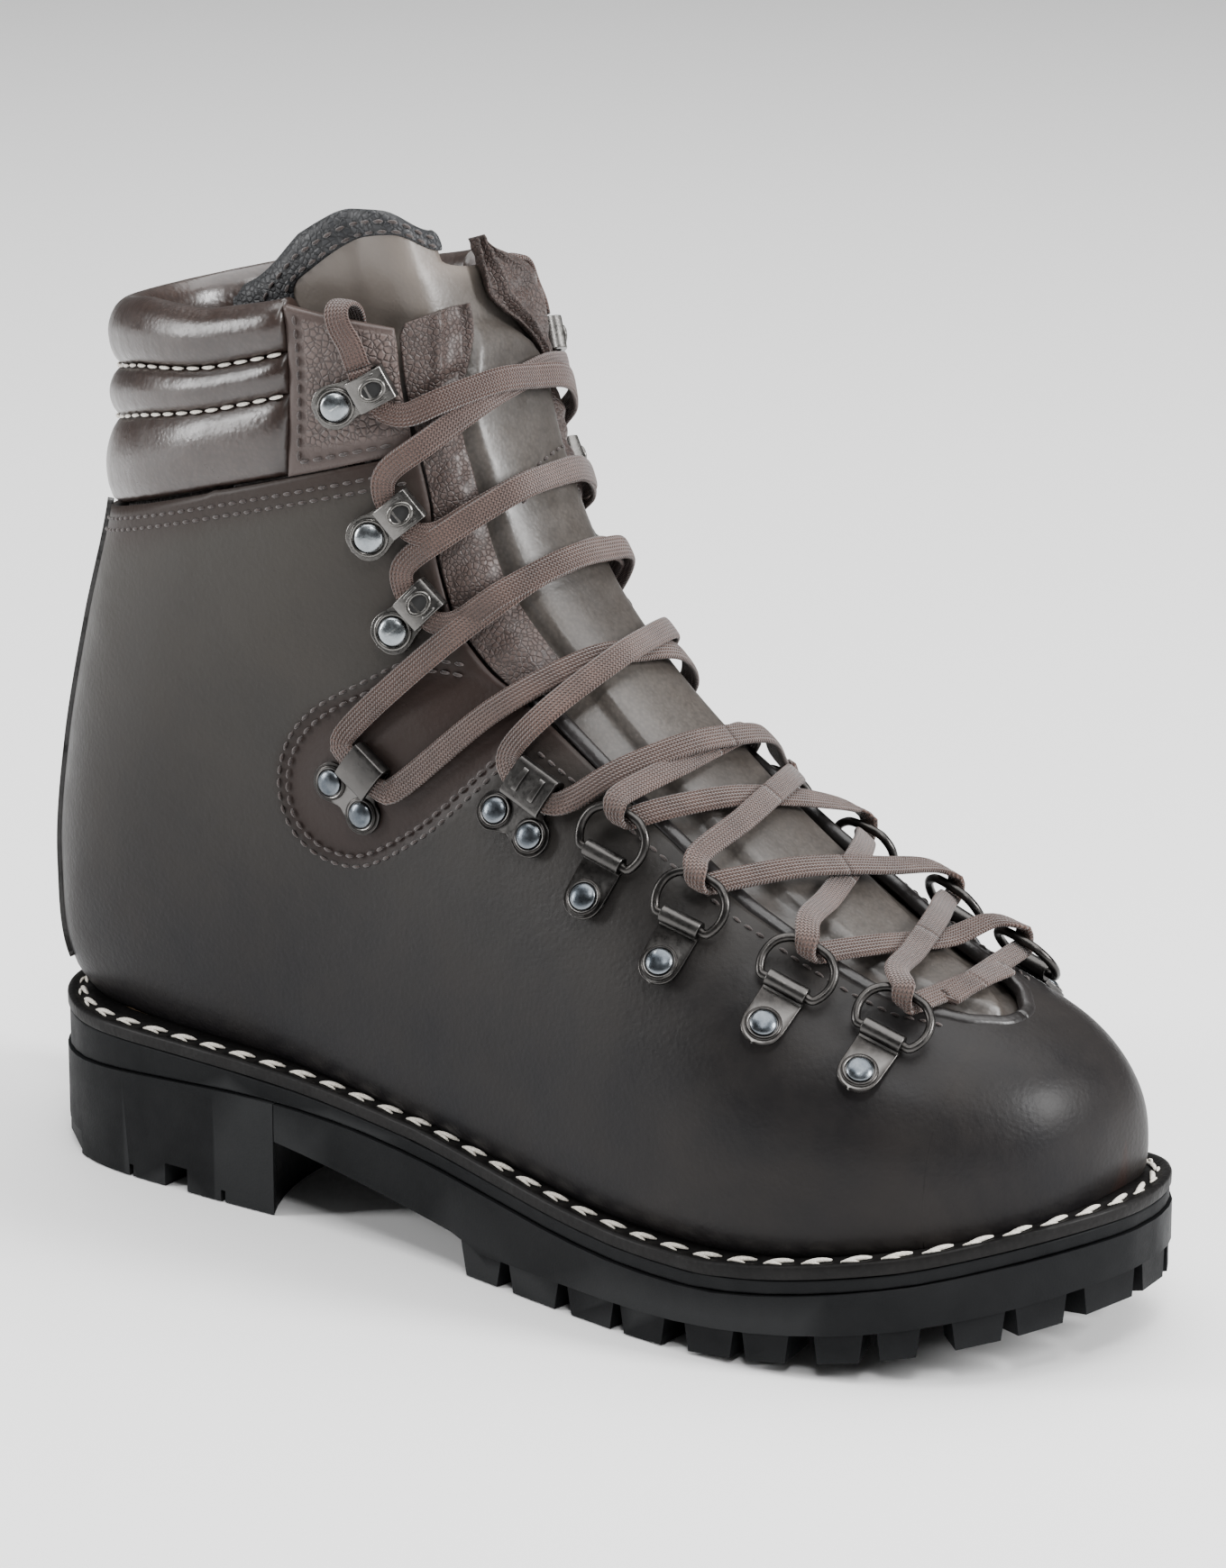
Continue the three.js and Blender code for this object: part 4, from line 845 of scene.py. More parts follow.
def tail_path(side):
    """A free end: from the top hook over the rim and straight down inside the shaft."""
    row = len(ROWS) - 1
    s = SEATS[row, side]
    path = [(s["place"](hook_reach(row) + a, b, 3.1), s["c"]) for a, b in ((0.35, 3), (4, 2.4))]
    for t, phi in ((16.45, 54), (16.75, 57)):
        path.append((below(t, side * phi, -1.9), skin_frame(t, side * phi)[2]))
    rim = skin(17, side * 59)
    for k, (y, z, x) in enumerate([(-1.2, 3.2, 0.5), (2.5, 4.9, 0), (7, 3.2, -0.5),
                                   (9.4, -1, -1)]):
        face = unit(np.array([0, side * (k - 1.2), 1.2 if k < 3 else 0.2]))
        path.append((rim + np.array([x, side * y, z]), face))
    last = path[-1][0]
    for z in np.linspace(last[2] - 10, 96, 11):
        path.append((np.array([last[0] - 1, last[1], z]), np.array([0.0, side, 0])))
    return path


# Height from the end of the lace, and radius.
AGLET_PROFILE = [(-0.3, 1.9), (-0.5, 2.2), (-1.6, 2.2), (-1.9, 1.95), (-2.6, 1.95), (-2.9, 2.2),
                 (-16.4, 2.1), (-17.9, 1.8), (-18.3, 1.2)]


def build_tails():
    for word, side in SIDES:
        points, up, _ = smooth_path(tail_path(side), 1.2)
        for _ in range(10):
            points[1:-1] = (points[:-2] + 2 * points[1:-1] + points[2:]) / 4
            up[1:-1] = unit(up[:-2] + 2 * up[1:-1] + up[2:])
        obj = lay_lace(points, up, np.zeros(len(points)), f"{word}_lace_end_woven",
                       [f"{word}_lace_end"])
        end = points[-1]
        turn = np.linspace(0, 2 * np.pi, 20, endpoint=False)
        rings = []
        for z, r in AGLET_PROFILE:
            rings.append(np.stack([end[0] + r * np.cos(turn), end[1] + r * np.sin(turn),
                                   np.full(20, end[2] + z)], 1))
        tip = tube(f"{word}_aglet_tip", np.stack(rings), AGLET, "aglet", [f"{word}_aglet"],
                   sharp=50)


build_tails()
build_lace()


# ---- upper -------------------------------------------------------
def spread_angles(t, start, end, count):
    """Angles from start to end with even steps along the skin, for each station in t."""
    q = np.linspace(0, 1, 61)[:-1]
    eased = q - 0.9 * np.sin(2 * np.pi * q) / (2 * np.pi)
    base = np.concatenate([90 * (k + eased) for k in range(-1, 5)])
    rows = []
    for t_row, a, b in zip(t, start, end):
        dense = np.concatenate([[a], base[(base > a) & (base < b)], [b]])
        d = distances(skin(t_row, dense))
        rows.append(np.interp(np.linspace(0, d[-1], count), d, dense))
    return np.array(rows)


ANKLE_PANEL = [(-12, 147), (-26, 147), (-39, 139.5), (-54, 131), (-62.5, 118), (-60.5, 105),
               (-51, 97), (-38, 96.5), (-24, 104.5), (-11, 115.5), (0, 127), (9, 139)]


def near_panel(points):
    """How far inside (positive) each point's side view is from the ankle panel's edge."""
    poly = curve(ANKLE_PANEL, 90)
    x, z = points[:, 0], points[:, 2]
    best = np.full(len(points), 1e9)
    inside = np.zeros(len(points), bool)
    for (x0, z0), (x1, z1) in zip(poly, np.roll(poly, -1, 0)):
        ex, ez = x1 - x0, z1 - z0
        s = np.clip(((x - x0) * ex + (z - z0) * ez) / (ex * ex + ez * ez + 1e-9), 0, 1)
        best = np.minimum(best, np.hypot(x - x0 - s * ex, z - z0 - s * ez))
        crosses = (z0 > z) != (z1 > z)
        inside ^= crosses & (x < x0 + ex * (z - z0) / (ez if abs(ez) > 1e-9 else 1e-9))
    return np.where(inside, best, -best)


def edge_bulge(t, distance, side):
    """Rise of the facing's edge: it stands up between the hooks, which hold it down."""
    rows = np.array([r[1] for r in ROWS[4:]])
    gaps = (rows[1:] + rows[:-1]) / 2
    halves = (rows[1:] - rows[:-1]) / 2
    rise = sum(np.exp(-((t - g) / (0.55 * h)) ** 2) for g, h in zip(gaps, halves))
    amount = 0.7 if side > 0 else 3.4
    return amount * rise * np.exp(-(distance / 8.0) ** 2)


STRETCH_FROM, STRETCH_TO = 10.5, 15.0
SIDE_Y = 22
WELD = 0.00002


def build_upper():
    low = np.concatenate([np.linspace(0.03, 3.3, 40), [3.34, THROAT_BOTTOM]])
    bend = THROAT_BOTTOM + np.array([0.004, 0.014, 0.03, 0.055, 0.09, 0.14, 0.2, 0.28, 0.36])
    rows = np.concatenate([low, bend, np.linspace(3.8, STRETCH_TO, 136)])
    columns = 230
    stretch = np.clip((rows - STRETCH_FROM) / (STRETCH_TO - STRETCH_FROM), 0, 1)
    half = throat_width(rows)
    start = np.where(rows > THROAT_BOTTOM, side_angle(1, rows, half), 0)
    end = 360 + np.where(rows > THROAT_BOTTOM, side_angle(-1, rows, half), 0)
    phi = spread_angles(rows, start, end, columns)
    top = edge_station(phi, -0.4)
    grid_t = rows[:, None] + stretch[:, None] * (top - STRETCH_TO)
    share = np.linspace(0, 1, columns)[None]
    # The throat's edge again, at the stations that the rows have now.
    edge_out = side_angle(1, grid_t[:, 0], throat_width(grid_t[:, 0]))
    edge_in = 360 + side_angle(-1, grid_t[:, -1], throat_width(grid_t[:, -1]))
    opened = rows > THROAT_BOTTOM
    shift_out = np.where(opened, edge_out - phi[:, 0], 0)[:, None]
    shift_in = np.where(opened, edge_in - phi[:, -1], 0)[:, None]
    phi = phi + shift_out * (1 - smoothstep(share, 0, 0.3)) + shift_in * smoothstep(share, 0.7, 1)
    points = skin(grid_t, phi)
    out = skin_frame(grid_t, phi)[2]
    flat = points.reshape(-1, 3)
    # Distance from the throat's edge, measured sideways over the front.
    gap_out = np.linalg.norm(points - points[:, :1], axis=2)
    gap_in = np.linalg.norm(points - points[:, -1:], axis=2)
    lift = np.where(share < 0.5, edge_bulge(grid_t, gap_out, 1), edge_bulge(grid_t, gap_in, -1))
    panel = near_panel(flat).reshape(grid_t.shape)
    step = -0.55 * smoothstep(panel, -0.6, 0.9)
    side_only = (np.abs(flat[:, 1]) > SIDE_Y).reshape(grid_t.shape)
    puffed = 1.3 * smoothstep(panel, 2, 16)
    lift = lift + np.where(side_only, step + puffed, 0)
    points = points + out * lift[..., None]
    near_edge = np.exp(-np.minimum(gap_out, gap_in) / 9) * smoothstep(grid_t, 8.0, 9.5)
    to_top = top - grid_t
    warm = np.clip(near_edge + 0.8 * np.where(side_only, smoothstep(panel, -2, 1), 0)
                   + 0.8 * smoothstep(0.62 - to_top, 0, 0.5) + 0.9 * np.exp(
                       -((phi - 180) / 7) ** 2), 0, 1)
    flat = points.reshape(-1, 3)
    floor = welt_top(flat[:, 0]) - 0.3
    faces = [f for f in grid_faces(len(rows), columns) if any(flat[k, 2] > floor[k] for k in f)]
    flat[:, 2] = np.maximum(flat[:, 2], floor)
    tip = tuple(range(columns - 1))
    obj = piece("upper_leather", flat, faces + [tip[::-1]], UPPER, "upper_leather", ["upper"],
                values={"warm": warm.ravel()}, outwards=False)
    work = bmesh.new()
    work.from_mesh(obj.data)
    bmesh.ops.remove_doubles(work, verts=work.verts, dist=WELD)
    remove_loose(work)
    bmesh.ops.recalc_face_normals(work, faces=work.faces)
    heel = min(work.faces, key=lambda f: f.calc_center_median().x)
    if heel.normal.x > 0:
        bmesh.ops.reverse_faces(work, faces=work.faces)
    work.to_mesh(obj.data)
    work.free()
    thicken(obj, 2.3, -1)


build_upper()


# ---- collar, facings, gussets, tongue ----------------------------
def collar_at(share, phi):
    """Station at a share of the collar's height."""
    lower = edge_station(phi, 1.0)
    top = TOP - 0.36 * smoothstep(np.abs(phi - 180), 55, 105)
    return lower + (top - lower) * share


COLLAR_START, COLLAR_END = 75, 285
LOWER_SEAM, UPPER_SEAM = 0.44, 0.7


def collar_roll(name, node, section, puckers):
    """A padded roll round the back: section points are (share of the collar's height, depth)."""
    phi = np.linspace(COLLAR_START, COLLAR_END, 190)
    loop = curve(section, 44, closed=True)
    share, depth = loop[:, 0], loop[:, 1]
    p, s = np.meshgrid(phi, share, indexing="ij")
    d = np.broadcast_to(depth, p.shape)
    seed = np.cumsum(rng.normal(0, 1, len(phi)))
    ripple = np.sin(np.radians(p) * 62 + 0.5 * seed[:, None]) * np.sin(np.radians(p) * 23 + 1)
    near = np.minimum(np.abs(s - section[0][0]), 1) * 30
    d = d + puckers * ripple * np.exp(-near) + 0.25 * puckers * ripple
    ends = 1.8 * (np.exp(-(p - COLLAR_START) / 1.6) + np.exp(-(COLLAR_END - p) / 1.6))
    d = np.where(d < 1.5, np.minimum(d + ends, 1.5), d)
    points = below(collar_at(s, p), p, d)
    tube(name, points, COLLAR, "collar_leather", [node])


def pad_section(low, high, bulge, inner=3.6):
    share = np.linspace(low + 0.004, high - 0.004, 9)
    u = np.linspace(0, 1, 9)
    outer = 0.9 - bulge * np.sin(np.pi * u) ** 0.62
    return [(s, d) for s, d in zip(share, outer)] + [(high - 0.03, inner), (low + 0.03, inner)]


collar_roll("collar_roll_lower_padded", "collar_roll_lower",
            pad_section(0, LOWER_SEAM, 3.4), 0.10)
collar_roll("collar_roll_middle_padded", "collar_roll_middle",
            pad_section(LOWER_SEAM, UPPER_SEAM, 3.4), 0.12)
collar_roll("collar_roll_top_padded", "collar_roll_top", [
    (0.705, 0.9), (0.74, -1.2), (0.81, -2.6), (0.9, -2.9), (0.985, -1.4), (1.035, 1.2),
    (1.04, 3.8), (1.0, 6.4), (0.92, 7.9), (0.8, 8.1), (0.72, 7.0), (0.70, 4.0)], 0.14)


def gusset_reach(side, t):
    """How far a gusset reaches in from the facing: the inner one runs on past the middle."""
    inner = 9 + 24 * smoothstep(t, 14.2, 16.6)
    return np.where(side < 0, inner, 9 + 9 * smoothstep(t, 13.4, 15.8))


FACING_TOP = TOP - 0.35
FACING_DROP = 1.3


def facing_panel(word, side):
    """Pebbled leather from the collar's front seam to the throat, flat along its seams."""
    u, v = np.meshgrid(np.linspace(0, 1, 40), np.linspace(0, 1, 46), indexing="ij")
    near = side_angle(side, 15.5, throat_width(15.5) + 0.3)
    mid_phi = near + (side * PANEL_BACK - near) * v
    low_t = edge_station(mid_phi, 0.6)
    t = low_t + (FACING_TOP - FACING_DROP * (1 - v) - low_t) * u
    edge = side_angle(side, t, throat_width(t) + 0.3)
    phi = edge + (side * PANEL_BACK - edge) * v
    rim = np.minimum.reduce([u * 44, (1 - u) * 44, v * 40, (1 - v) * 40])
    swell = 0.6 * (1 - np.exp(-rim / 0.8))
    wave = 0.5 * np.sin(u * 11 + v * 4) * np.exp(-v * 3.2) * np.sin(np.pi * u)
    band = np.minimum.reduce([u * 44, (1 - u) * 90, (1 - v) * 40])
    plain = 1 - smoothstep(band, 5.0, 6.4)
    swell = swell - 0.35 * plain * (1 - np.exp(-rim / 0.8))
    skin_side = below(t, phi, -swell - wave)
    under_side = below(t, phi, 2.2)
    rows, columns = t.shape
    count = rows * columns
    faces = grid_faces(rows, columns) + [f[::-1] for f in grid_faces(rows, columns, count)]
    border = ([i * columns for i in range(rows)]
              + [(rows - 1) * columns + j for j in range(1, columns)]
              + [i * columns + columns - 1 for i in range(rows - 2, -1, -1)]
              + [j for j in range(columns - 2, 0, -1)])
    faces += [(a, b, b + count, a + count) for a, b in zip(border, border[1:] + border[:1])]
    piece(f"{word}_facing_panel_pebbled", np.vstack([skin_side.reshape(-1, 3),
                                                     under_side.reshape(-1, 3)]),
          faces, FACING, "facing_leather", [f"{word}_facing_panel"],
          values={"plain": np.tile(plain.ravel(), 2)})


def gusset(word, side):
    """Soft bellows leather with folds, between the facing and the tongue."""
    top = FACING_TOP - FACING_DROP if side > 0 else TOP + 0.5
    t, v = np.meshgrid(np.linspace(GUSSET_BOTTOM, top, 170), np.linspace(0, 1, 46), indexing="ij")
    far = throat_width(t) - 0.4 - 28 * smoothstep(t, 16, TOP + 0.5)
    distance = far + (throat_width(t) - gusset_reach(side, t) - far) * v
    phi = side_angle(side, t, distance)
    wrinkle = np.zeros(t.shape)
    for _ in range(9):
        pitch, lean, phase, size = (rng.uniform(4, 14), rng.uniform(-3, 3), rng.uniform(0, 6.3),
                                    rng.uniform(0.08, 0.28))
        wrinkle += size * np.sin(pitch * t + lean * v + phase)
    wrinkle = wrinkle * np.sin(np.pi * np.clip(v, 0.02, 0.98)) ** 0.5
    wide = smoothstep(t, 13.6, 16.2)
    low_fold = 1.1 * np.sin(np.pi * v) ** 2 * (1 - wide)
    crest = lambda at, width: np.exp(-((v - at) / width) ** 2)
    if side > 0:
        folds = 1.5 * crest(0.42 + 0.04 * (t - 15), 0.09) + 2.2 * crest(0.97, 0.07) - 0.5
    else:
        folds = 1.8 * crest(0.3, 0.08) + 3.6 * crest(0.80 - 0.03 * (t - 16), 0.06)
        folds = folds + 2.6 * crest(1.0, 0.05) - 0.9
    stand = 0.5 - wrinkle * (1 - 0.5 * wide) - low_fold - folds * wide + 1.2 * v * (1 - wide)
    outer_skin = below(t, phi, stand)
    inner_skin = below(t, phi, stand + 1.2)
    tube(f"{word}_gusset_folded", np.concatenate([outer_skin, inner_skin[:, ::-1]], 1), GUSSET,
         "facing_leather", [f"{word}_gusset"])


def facing_edge(word, side):
    """Rolled edge of the lacing throat, from the middle of its bottom up to the ankle."""
    t = np.concatenate([THROAT_BOTTOM + np.array([0.0, 0.01, 0.03, 0.06, 0.1, 0.16, 0.26, 0.4]),
                        np.linspace(3.95, GUSSET_BOTTOM, 60)])
    inset = 1.6 * smoothstep(t, THROAT_BOTTOM, THROAT_BOTTOM + 0.2)
    phi = side_angle(side, t, np.maximum(throat_width(t) - inset, 0))
    line = below(t, phi, 1.1)
    line, up = evenly(line, 1.6, skin_frame(t, phi)[2])
    made, faces, _ = sweep(line, up, round_section(4.0, 3.6, 14, 2.2))
    piece(f"{word}_facing_edge_rolled", made, faces, TRIM, "trim_leather",
          [f"{word}_facing_edge"])


for word, side in SIDES:
    facing_panel(word, side)
    gusset(word, side)
    facing_edge(word, side)

TONGUE_BASE = 3.3
TONGUE_TOP = np.array([[-1, 18.85], [-0.6, 19.65], [0, 19.2], [0.6, 18.5], [1, 17.6]])


def tongue_point(share, mix, inset):
    """Point of the tongue: its top has turned to the outer side and stands inside the collar."""
    top = smooth_line(TONGUE_TOP, np.asarray(mix, float))
    t = TONGUE_BASE + (top - TONGUE_BASE) * share
    half = np.minimum(throat_width(np.maximum(t, 3.5)) + 5.5,
                      12 + 11 * np.maximum(0, t - TONGUE_BASE))
    y = throat_middle(t) - mix * half
    free = throat_width(np.maximum(t, 3.5)) - np.abs(mix * half)
    turned = smoothstep(t, 15.8, 18)
    phi = angle_at(t, y) * (1 - turned) + (52 + 42 * mix) * turned
    reach = gusset_reach(np.sign(mix), t)
    lift = smoothstep(free, reach + 0.6, reach + 4) * (1 - smoothstep(t, 15, 15.9))
    away = smoothstep(t, 14.5, 16.5) * smoothstep(phi, 20, 50)
    return below(t, phi, 3.5 - 2.9 * lift + 9 * away + inset)


def tongue_row(share, mix, proud, deep):
    """Points and normals of a stitch row, from a proud layer of the tongue and a deep one."""
    line, deeper = tongue_point(share, mix, proud), tongue_point(share, mix, deep)
    return evenly(line, 0.6, unit(line - deeper))


def build_tongue():
    share, mix = np.meshgrid(np.linspace(0, 1, 150), np.linspace(-1, 1, 50), indexing="ij")
    crown = 0.5 * (1 - mix ** 2) * smoothstep(share, 0, 0.1)
    front = tongue_point(share, mix, 0.3 - crown)
    behind = tongue_point(share, mix, 3.4)
    column = np.ones((len(share), 1))
    edge = tongue_point(share[:, :1], -1.012 * column, 2.0)
    other = tongue_point(share[:, :1], 1.012 * column, 2.0)
    loop = np.concatenate([front, other, behind[:, ::-1], edge], 1)
    # Painted highlight on the tongue's top: its colour is lighter there.
    painted_highlight = np.repeat(smoothstep(share[:, 0], 0.78, 0.9), loop.shape[1])
    obj = tube("tongue_padded", loop, TONGUE, "tongue_leather", ["tongue"],
               values={"painted_highlight": painted_highlight})
    # Binding: a strip folded over the top edge, with two rows of stitches.
    section = curve([(-0.034, 0.2), (-0.031, -0.5), (-0.015, -0.75), (0.004, -0.3), (0.016, 0.8),
                     (0.019, 1.8), (0.015, 2.9), (0.003, 3.9), (-0.015, 4.2), (-0.031, 4.0),
                     (-0.034, 3.2), (-0.02, 1.8)], 48, closed=True)
    mix = np.linspace(-1.03, 1.03, 160)
    m, d = np.meshgrid(mix, section[:, 0], indexing="ij")
    depth = np.broadcast_to(section[:, 1], m.shape)
    band = tongue_point(1 + d, np.clip(m, -1.02, 1.02), depth)
    tube("tongue_binding_folded", band, BINDING, "trim_leather", ["tongue_binding"])
    mix = np.linspace(-0.98, 0.98, 200)
    rows = []
    for d in (-0.0275, -0.006):
        rows.append(tongue_row(1 + d, mix, -0.7, 1.7))
    stitches("tongue_stitches", rows, BROWN_THREAD, length=2.2, gap=1.2, width=0.9, sink=0.0)
    # Two small stitch rows across the tongue, where a loop for the lace is sewn on inside.
    rows = []
    for t in (12.0, 12.35):
        share = (t - TONGUE_BASE) / (19.3 - TONGUE_BASE)
        mix = np.linspace(-0.45, 0.3, 60)
        rows.append(tongue_row(share, mix, -0.25, 2.0))
    stitches("tongue_front_stitches", rows, BROWN_THREAD, length=1.6, gap=1.3, width=0.8, sink=0.0)


build_tongue()


# ---- backstay, welt, lining, footbed -----------------------------
def strip(name, t, half, proud, material, slot, nodes):
    """A strip up the back seam, rounded along its edges."""
    across = np.linspace(-1, 1, 15)
    tt, aa = np.meshgrid(t, across, indexing="ij")
    probe = np.linspace(150, 210, 241)
    phi = np.array([np.interp(-aa[k] * half, skin(tk, probe)[::-1, 1], probe[::-1])
                    for k, tk in enumerate(t)])
    rise = proud * (1 - np.abs(aa) ** 6) + 0.15
    front = below(tt, phi, -rise)
    back_face = below(tt, phi, 0.4)
    loop = np.concatenate([front, back_face[:, ::-1]], 1)
    return tube(name, loop, material, slot, nodes)


top_back = float(edge_station(180.0, -1.0))
strip("backstay_strip", np.linspace(12.12, top_back, 70), 7.2, 1.1, TRIM, "trim_leather",
      ["backstay"])

WELT_SECTION = [(0.6, 0), (0.3, 0.5), (0.25, 2.7), (0.5, 3.25), (1.1, 3.5), (1.9, 3.5),
                (2.4, 3.05), (3.3, 2.9), (4.9, 2.95), (5.6, 3.4), (7, 3.5), (11, 3.5), (11, 0)]


def build_welt():
    edge, into = outline(np.linspace(0, len(SOLE_OUTLINE), 384, endpoint=False))
    rings = []
    for inset, height in WELT_SECTION:
        p = edge + into * inset
        rings.append(np.column_stack([p, welt_top(p[:, 0]) - WELT_THICKNESS + height]))
    rings = np.stack(rings, 1)
    faces = grid_faces(*rings.shape[:2], around=True, loop=True)
    piece("welt_strip", rings.reshape(-1, 3), faces, WELT, "welt", ["welt"], sharp=50)


def welt_row(inset, height, start=0.0):
    s = np.linspace(start, len(SOLE_OUTLINE) + start, 1200)
    p, n = outline(s)
    p = p + n * inset
    line = np.column_stack([p, welt_top(p[:, 0]) + height])
    normals = np.column_stack([-0.35 * n, np.ones(len(s))])
    return evenly(line, 0.8, unit(normals))


build_welt()
stitches("welt_stitch_main", [welt_row(4.6, -0.35)], CREAM_THREAD, length=7.2, gap=2.3,
         width=1.45, sink=0.05, slant=-1.2)
stitches("welt_stitch_lock", [welt_row(3.5, -0.3, 0.1)], CREAM_THREAD, length=4.4, gap=5.1,
         width=0.85, sink=0.1, slant=0.5)


def build_lining():
    """Textile shell inside the shaft and foot."""
    t, share = np.meshgrid(np.concatenate([np.linspace(1.2, 4, 10),
                                           np.linspace(4.3, TOP - 1, 60)]),
                           np.linspace(0, 1, 120), indexing="ij")
    rows = t[:, 0]
    away = throat_width(rows) + 11
    start = np.where(rows > 3.4, side_angle(1, rows, away), 0.5)
    end = 360 + np.where(rows > 3.4, side_angle(-1, rows, away), -0.5)
    flat = below(t, spread_angles(rows, start, end, share.shape[1]), 5.0).reshape(-1, 3)
    floor = welt_top(flat[:, 0]) + 0.6
    faces = [f for f in grid_faces(*t.shape) if any(flat[k, 2] > floor[k] for k in f)]
    flat[:, 2] = np.maximum(flat[:, 2], floor)
    obj = piece("lining_shell", flat, faces, LINING, "lining", ["lining"])
    work = bmesh.new()
    work.from_mesh(obj.data)
    remove_loose(work)
    work.to_mesh(obj.data)
    work.free()
    thicken(obj, 1.2, 0)


build_lining()


def remeshed(node, name, voxel, material):
    """A soft piece with the CAD solid's outer shape, rounded by remeshing and smoothing."""
    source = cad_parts[node]
    obj = bpy.data.objects.new(name, source.data.copy())
    bpy.context.scene.collection.objects.link(obj)
    remesh = obj.modifiers.new("remesh", "REMESH")
    remesh.mode, remesh.voxel_size = "VOXEL", voxel * MM
    smooth = obj.modifiers.new("smooth", "SMOOTH")
    smooth.iterations, smooth.factor = 8, 0.5
    bpy.context.view_layer.update()
    made = bpy.data.meshes.new_from_object(
        obj.evaluated_get(bpy.context.evaluated_depsgraph_get()))
    obj.modifiers.clear()
    obj.data = made
    made.materials.clear()
    made.materials.append(material)
    made.polygons.foreach_set("use_smooth", [True] * len(made.polygons))
    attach(obj, "root")
    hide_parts(node)
    return obj


footbed = remeshed("footbed", "footbed_felt", 2.2, FOOTBED)


# ---- stitch rows on the leather ----------------------------------
PANEL_STITCH = PANEL_BACK - 3


def build_stitches():
    panel_tp = on_side(curve(ANKLE_PANEL, 60))
    for _ in range(6):
        panel_tp[1:-1] = (panel_tp[:-2] + 2 * panel_tp[1:-1] + panel_tp[2:]) / 4
    dark_rows, collar_rows = [], []
    for _, side in SIDES:
        row = skin_line(panel_tp, side, 0.0)
        dark_rows += [beside(row, side * 1.3), beside(row, -side * 1.3)]
        phi = np.linspace(41, 172, 150)
        for drop in (-3.6, -6.4):
            t = edge_station(phi, drop)
            dark_rows.append(skin_line(np.stack([t, phi], 1), side))
        # Facing panel: along the seam with the collar and along the lower edge.
        phi = np.linspace(PANEL_STITCH, 44, 40)
        dark_rows.append(skin_line(np.stack([edge_station(phi, 3.6), phi], 1), side, -0.55))
        t = np.linspace(float(edge_station(PANEL_STITCH, 3.6)), TOP - 0.55, 40)
        dark_rows.append(skin_line(np.stack([t, np.full(40, PANEL_STITCH)], 1), side, -0.55))
        # Along the throat, beside the rolled edge.
        t = np.linspace(3.95, 9.2, 80)
        phi = side_angle(side, t, throat_width(t) + 3.4)
        dark_rows.append(skin_line(np.stack([t, side * phi], 1), side))
        # Both edges of the backstay.
        t = np.linspace(12.3, top_back - 0.1, 60)
        probe = np.linspace(150, 180, 200)
        phi = [np.interp(5.6, -skin(tk, probe)[::-1, 1], probe[::-1]) for tk in t]
        dark_rows.append(skin_line(np.stack([t, np.array(phi)], 1), side, -1.25))
    phi = np.linspace(COLLAR_START + 1, COLLAR_END - 1, 300)
    for share in (LOWER_SEAM, UPPER_SEAM):
        t = collar_at(share, phi)
        collar_rows.append(skin_line(np.stack([t, phi], 1), 1, -0.15))
    stitches("leather_stitches", dark_rows, BROWN_THREAD, length=2.3, gap=1.0, width=0.85,
             sink=0.02)
    stitches("collar_stitches", collar_rows, CREAM_THREAD, length=3.9, gap=1.1, width=0.95,
             sink=0.02)


build_stitches()


# ---- fittings ----------------------------------------------------
def extrude(shape, low, high, axis="c"):
    """A closed solid from an outline: (a, b) pushed along c, or (b, c) pushed along a."""
    n = len(shape)
    points = []
    for level in (low, high):
        for p, q in shape:
            points.append((p, q, level) if axis == "c" else (level, p, q))
    faces = [(k, (k + 1) % n, n + (k + 1) % n, n + k) for k in range(n)]
    return np.array(points), faces + [tuple(range(n))[::-1], tuple(range(n, 2 * n))]


TURN = 28


def lathe(profile, a, b, count=TURN):
    """A round body on the axis c through (a, b)."""
    turn = full_turn(count)
    rings = [np.stack([a + r * np.cos(turn), b + r * np.sin(turn), np.full(count, z)], 1)
             for r, z in profile]
    return np.vstack(rings), grid_faces(len(profile), count, around=True, ends=True)


def assemble(name, parts, seat_at, materials, slot, nodes, bevel=0.22):
    """Parts of one fitting in its seat's frame, each with its material's number."""
    points, faces, indices, first = [], [], [], 0
    for (p, f), index in parts:
        points.append(p)
        faces += [tuple(first + k for k in face) for face in f]
        indices += [index] * len(f)
        first += len(p)
    local = np.vstack(points)
    placed = (seat_at["origin"] + local[:, :1] * seat_at["a"] + local[:, 1:2] * seat_at["b"]
              + local[:, 2:] * seat_at["c"])
    obj = piece(name, placed, faces, materials, slot, nodes, indices=indices, sharp=40)
    return soften(obj, bevel, 2, 40)


def rivet_parts(a, b, base, size=1.0):
    """A domed rivet head in a rolled rim, with a dark groove between them."""
    dome = [(3.0, 0.3), (3.25, 0.9), (3.1, 1.35), (2.5, 1.75), (1.6, 2.02), (0.7, 2.12),
            (0.05, 2.14)]
    rim = [(3.4, 0.1), (3.4, 0.75), (3.7, 1.05), (4.15, 1.05), (4.4, 0.75), (4.45, 0.1)]
    scale = lambda rows: [(r * size, base + z * size) for r, z in rows]
    rim_points, _ = lathe(scale(rim), a, b)
    rim_faces = grid_faces(len(rim), TURN, around=True, loop=True)
    return [(lathe(scale(dome), a, b), 1), ((rim_points, rim_faces), 0)]


PLATE_BASE, PLATE_TOP = 0.35, 1.55
RIVET_BASE = PLATE_TOP - 0.35


def mirrored(half, count):
    """A closed outline from its half at positive a, smoothed."""
    half = curve(half, count)
    other = half[::-1] * np.array([-1, 1])
    return np.vstack([half, other[1:-1] if abs(half[0, 0]) < 1e-6 and abs(half[-1, 0]) < 1e-6
                      else other])


